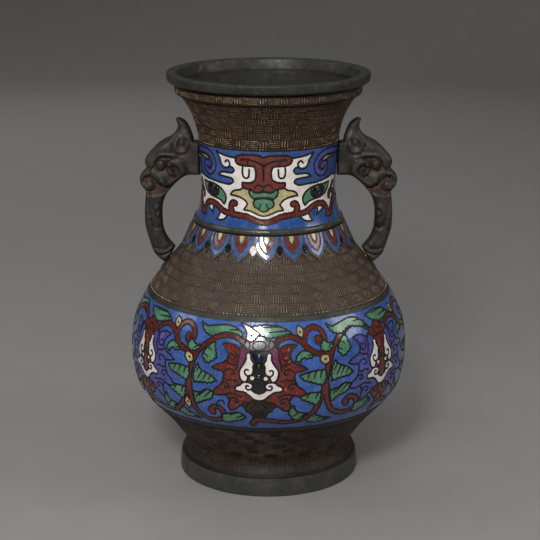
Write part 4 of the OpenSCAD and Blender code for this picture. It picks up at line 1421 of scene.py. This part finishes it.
BROW_LINE = [(66.8, 240.2), (69.6, 241.3), (73.5, 242), (77.4, 242.1), (80.6, 241.1),
             (82.9, 238.6), (84, 235.4), (85.4, 233.6), (88.4, 233.5)]
MOUTH_LINE = [(73.2, 218.6), (76.6, 219.8), (80.4, 221.9), (84.2, 225), (87, 227), (89.6, 227.3),
              (91.6, 225.6), (92, 223.4)]


def sculpt(points, outline):
    """Half thickness of the handle at each point, and how deep in a hollow the point lies."""
    form = Relief(points, outline)
    x, z = points[:, 0], points[:, 1]
    block = ease((60 - x) / 5) * (z > 220)
    ear = ease((z - 255) / 12)
    strap = ease((216 - z) / 6)
    soft = 5.2 - 3.4 * block - 1.6 * ear - 0.6 * strap
    round_off = np.sqrt(np.clip(1 - (1 - np.clip(form.edge / soft, 0, 1)) ** 2, 0, 1))
    thick = HANDLE_HALF + 0.5 * (1 - strap) - 2.0 * ear - 0.2 * strap
    # the face lies lower than the smooth helmet above the brow
    form.sink([q + (C,) for q in BROW_LINE] + [(93, 231), (96, 225), (92, 214), (84, 213),
              (73, 217), (66, 223), (60.5, 229), (61, 236)], 1.5, 2.0)
    form.ridge([(69, 243.2), (73.5, 243.6), (78, 243.6), (81.8, 242.4), (84.3, 239.6),
                (85.8, 236)], 0.7, 1.8)
    form.groove(BROW_LINE, 0.9, 0.8)
    form.swell(78, 247.5, 9, 5, 0.9)
    form.bump(79, 236.6, 3.7, 4.1, 2.9)
    form.groove([(75.4, 239), (74.9, 236.6), (76, 233.8), (78.6, 232.2), (81.4, 232.7),
                 (83.4, 234.6)], 0.9, 0.8)
    # cheek: a thick crescent that curls in on itself
    form.ridge([(72.4, 237.4), (69.4, 238.4), (66, 237), (63.8, 234), (63.3, 230.2),
                (65.2, 226.4), (69, 223.6), (73.6, 221.6), (78, 223.4)], 2.5, 3.0)
    form.ridge([(72.4, 237.4), (73.4, 234.4), (72.6, 231.4), (70.6, 229.6)], 1.9, 1.8)
    form.bump(69.3, 231, 1.9, 2.3, -1.7)
    form.groove([(68.4, 234.6), (67, 232.6), (67.4, 229.6), (69.4, 227.6), (72, 228)], 1.2, 0.9)
    form.groove([(61, 238.4), (59.9, 234), (60.2, 229.6), (62, 226)], 0.8, 0.9)
    form.swell(79.6, 226.8, 5.5, 4.2, 2.0)
    form.swell(86, 230.6, 5, 2.6, 1.2)
    # snout curled over the chin
    form.groove(MOUTH_LINE, 2.1, 1.0)
    form.ridge([(88.4, 230.8), (91.6, 229.4), (93.2, 225.6), (92.8, 221.6), (90.6, 218.6)],
               1.9, 2.3)
    form.bump(87.6, 220.9, 3.5, 3.7, 2.4)
    form.groove([(83.4, 220.6), (84.4, 217.4), (87.4, 216.2), (90.4, 216.6)], 0.9, 0.8)
    # ear: a raised ring open at the top, a groove round it
    form.ridge([(59.8, 252), (59.9, 248.6), (62.4, 246.2), (65.8, 246.4), (68.2, 249),
                (68.2, 252.6), (66.8, 256)], 0.9, 1.7)
    form.groove([(58, 249.5), (59.4, 245.8), (62.8, 243.9), (66.6, 244.8), (69.8, 248),
                 (70.4, 252), (69, 256), (67.8, 259)], 1.0, 0.75)
    form.groove([(61.3, 255.4), (61.6, 252), (63, 250.1), (65, 250.6), (65.8, 252.6)], 1.1, 0.7)
    form.swell(64, 257.5, 3, 6, -0.6)
    # strap: a small scroll, a ring and a knot above the tail
    form.ridge([(78.8, 204), (82, 204.6), (84.6, 202.4), (85.2, 198.4), (83.8, 194.6),
                (81, 192.6), (78.8, 192.4)], 1.2, 1.5)
    form.bump(81, 198.6, 1.9, 2.2, 1.5)
    form.groove([(78.4, 189.8), (81, 188.6), (84, 189), (86.4, 191.4), (87.4, 195)], 1.3, 0.8)
    form.groove([(88.4, 214), (88.8, 206), (88.4, 198.4)], 0.9, 0.9)
    form.groove([(72.4, 175.6), (76.4, 172.6), (80.6, 172.2), (85, 173.4)], 1.4, 0.9)
    form.groove([(72.8, 170.6), (76.4, 168.6), (80.2, 167.6), (83.4, 167.8)], 1.4, 0.9)
    form.swell(78.6, 170.6, 4.5, 1.5, 0.8)
    form.swell(79.4, 183, 4, 7, -0.4)
    depth = thick * (0.22 + 0.78 * round_off)
    carve = form.carve * ease(form.edge / 2.4)
    rough = waves(points, 5.0, 0.22, 5.0) + waves(points, 1.4, 0.06, 8.0)
    return np.maximum(depth + carve + rough * round_off, 0.6), np.clip(-carve, 0, 3)


def handle_mesh():
    outline = ccw(smooth(HANDLE, True, 0.75))
    poly = np.array(outline)
    lo, hi = poly.min(0), poly.max(0)
    spacing = 0.8
    rows = np.arange(lo[1], hi[1], spacing * 0.87)
    grid = np.array([(gx + spacing * 0.5 * (j % 2), gz) for j, gz in enumerate(rows)
                     for gx in np.arange(lo[0], hi[0], spacing)])
    grid = grid[inside_polygon(grid, poly)]
    grid = grid[gap_to(grid, outline, closed=True) > 0.4]
    verts = [Vector(q) for q in outline] + [Vector(q) for q in grid]
    edges = [(i, (i + 1) % len(outline)) for i in range(len(outline))]
    points, corners, _ = triangulate(verts, edges, 1e-5)
    corners = corners[inside_polygon(points[corners].mean(1), poly)]
    half, hollow = sculpt(points, outline)

    def front(i):
        return np.stack([points[i, 0], -half[i], points[i, 1]], 1)

    def back(i):
        return np.stack([points[i, 0], half[i], points[i, 1]], 1)
    verts, faces = closed_relief(points, corners, front, back)
    used = np.unique(corners)
    return verts, faces, np.concatenate([hollow[used], hollow[used]])


def handle_look():
    look = Look("cast_handle_bronze")
    tone = look.mix(look.ramp(look.noise(11, 5, 0.6), 0.38, 0.62), rgb(28, 26, 24), rgb(48, 43, 38))
    tone = look.mix(look.ramp(look.noise(5, 4, 0.6, shift=3), 0.55, 0.75, 0, 0.6), tone,
                    rgb(68, 57, 46))
    # painted shade: the deeper a point lies in a hollow, the darker its colour is drawn
    deep = look.ramp(look.attribute("hollow"), 0.5, 1.8, 0, 0.75)
    tone = look.mix(deep, tone, rgb(16, 13, 11))
    rust = look.ramp(look.attribute("hollow"), 0.15, 1.3)
    rust = look.maths("MULTIPLY", rust, look.ramp(look.noise(3, 3, 0.6, shift=1), 0.3, 0.6))
    tone = look.mix(look.maths("MULTIPLY", rust, 0.8), tone, rgb(66, 46, 34))
    rough = look.ramp(look.noise(7, 4, shift=2), 0.3, 0.7, 0.44, 0.62)
    height = look.maths("ADD", look.maths("MULTIPLY", look.noise(0.9, 3), 0.5),
                        look.noise(4, 3, shift=6))
    return look.finish(tone, rough, height, 0.2, 0.2, 0.4)


handle_bronze = handle_look()
handle_verts, handle_faces, handle_hollow = handle_mesh()
mesh_piece("beast_handle_right", handle_verts, handle_faces, handle_bronze, "handle_bronze",
           ["right_handle"], 50, {"hollow": handle_hollow})
mesh_piece("beast_handle_left", handle_verts * np.array([-1, 1, 1]), [f[::-1] for f in handle_faces],
           handle_bronze, "handle_bronze", ["left_handle"], 50, {"hollow": handle_hollow})

# ---------- CAD parts that keep their shapes and take these looks
for node, material in (("base_plate", "base"), ("handle_tenons", "handle"),
                       ("handle_pins", "brass"), ("handle_solder", "solder")):
    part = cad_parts[node]
    part.data.materials.clear()
    part.data.materials.append(M[material])

# ---------- Floor, light and camera
def stage_floor():
    """A round floor that curves up into a low wall all the way round."""
    flat, bend, wall, steps, around = 2.0, 0.7, 1.5, 12, 96
    path = [(0.02, 0.0), (flat, 0.0)]
    path += [(flat + bend * math.sin(math.pi / 2 * i / steps),
              bend * (1 - math.cos(math.pi / 2 * i / steps))) for i in range(1, steps + 1)]
    path.append((flat + bend, wall))
    n = len(path)
    verts, faces = [], [tuple(i * n for i in range(around))]
    for i in range(around):
        a = 2 * math.pi * i / around
        verts += [(r * math.cos(a), r * math.sin(a), z) for r, z in path]
        j = (i + 1) % around
        faces += [(i * n + k, i * n + k + 1, j * n + k + 1, j * n + k) for k in range(n - 1)]
    mesh = bpy.data.meshes.new("backdrop")
    mesh.from_pydata(verts, [], faces)
    mesh.polygons.foreach_set("use_smooth", [True] * len(mesh.polygons))
    look = Look("pale_floor")
    tone = look.mix(look.noise(40, 4), rgb(122, 119, 116), rgb(130, 127, 124))
    look.finish(tone, 0.6, look.noise(2, 3), 0.05)
    mesh.materials.append(look.material)
    floor = bpy.data.objects.new("backdrop", mesh)
    bpy.context.collection.objects.link(floor)


def soft_light(name, azimuth, elevation, distance, wide, high, power, colour=(1, 1, 1),
               shine=True):
    """An area light that faces the vase; with shine off it gives no reflection."""
    data = bpy.data.lights.new(name, "AREA")
    data.shape = "RECTANGLE"
    data.size, data.size_y = wide, high
    data.energy = power
    data.color = colour
    lamp = bpy.data.objects.new(name, data)
    a, e = math.radians(azimuth), math.radians(elevation)
    away = Vector((math.sin(a) * math.cos(e), -math.cos(a) * math.cos(e), math.sin(e)))
    lamp.location = AIM + away * distance
    lamp.rotation_mode = "QUATERNION"
    lamp.rotation_quaternion = away.to_track_quat("Z", "Y")
    lamp.visible_glossy = shine
    bpy.context.collection.objects.link(lamp)


AIM = Vector((0, 0, 0.17))
stage_floor()
soft_light("key", -10, 32, 1.3, 0.2, 0.2, 10.5)
soft_light("front", -12, 36, 1.6, 1.3, 0.9, 15, shine=False)
soft_light("right", 76, 28, 1.5, 0.6, 0.6, 5.5, (1, 0.97, 0.94))
soft_light("left", -84, 34, 1.5, 0.5, 0.7, 3.3, (0.95, 0.97, 1))
soft_light("top", 10, 84, 1.6, 1.2, 1.2, 1.2)
soft_light("back", 200, 30, 2.0, 1.2, 1.0, 9, shine=False)

world = bpy.data.worlds.new("studio")
world.use_nodes = True
sky = world.node_tree.nodes["Background"].inputs
sky["Color"].default_value = (0.9, 0.93, 1, 1)
sky["Strength"].default_value = 0.2
bpy.context.scene.world = world
bpy.context.scene.view_settings.view_transform = "Standard"

# The photograph's camera: lens and tilt fitted together with the vase's outline
CAMERA_PLACE = (1.1, -1153.6, 469.4)
CAMERA_TILT = 74.7454
camera_data = bpy.data.cameras.new("photo_camera")
camera_data.sensor_width = 36
camera_data.lens = 106.05
camera = bpy.data.objects.new("photo_camera", camera_data)
camera.location = Vector(CAMERA_PLACE) * UNIT
camera.rotation_euler = (math.radians(CAMERA_TILT), 0, 0)
bpy.context.collection.objects.link(camera)
bpy.context.scene.camera = camera
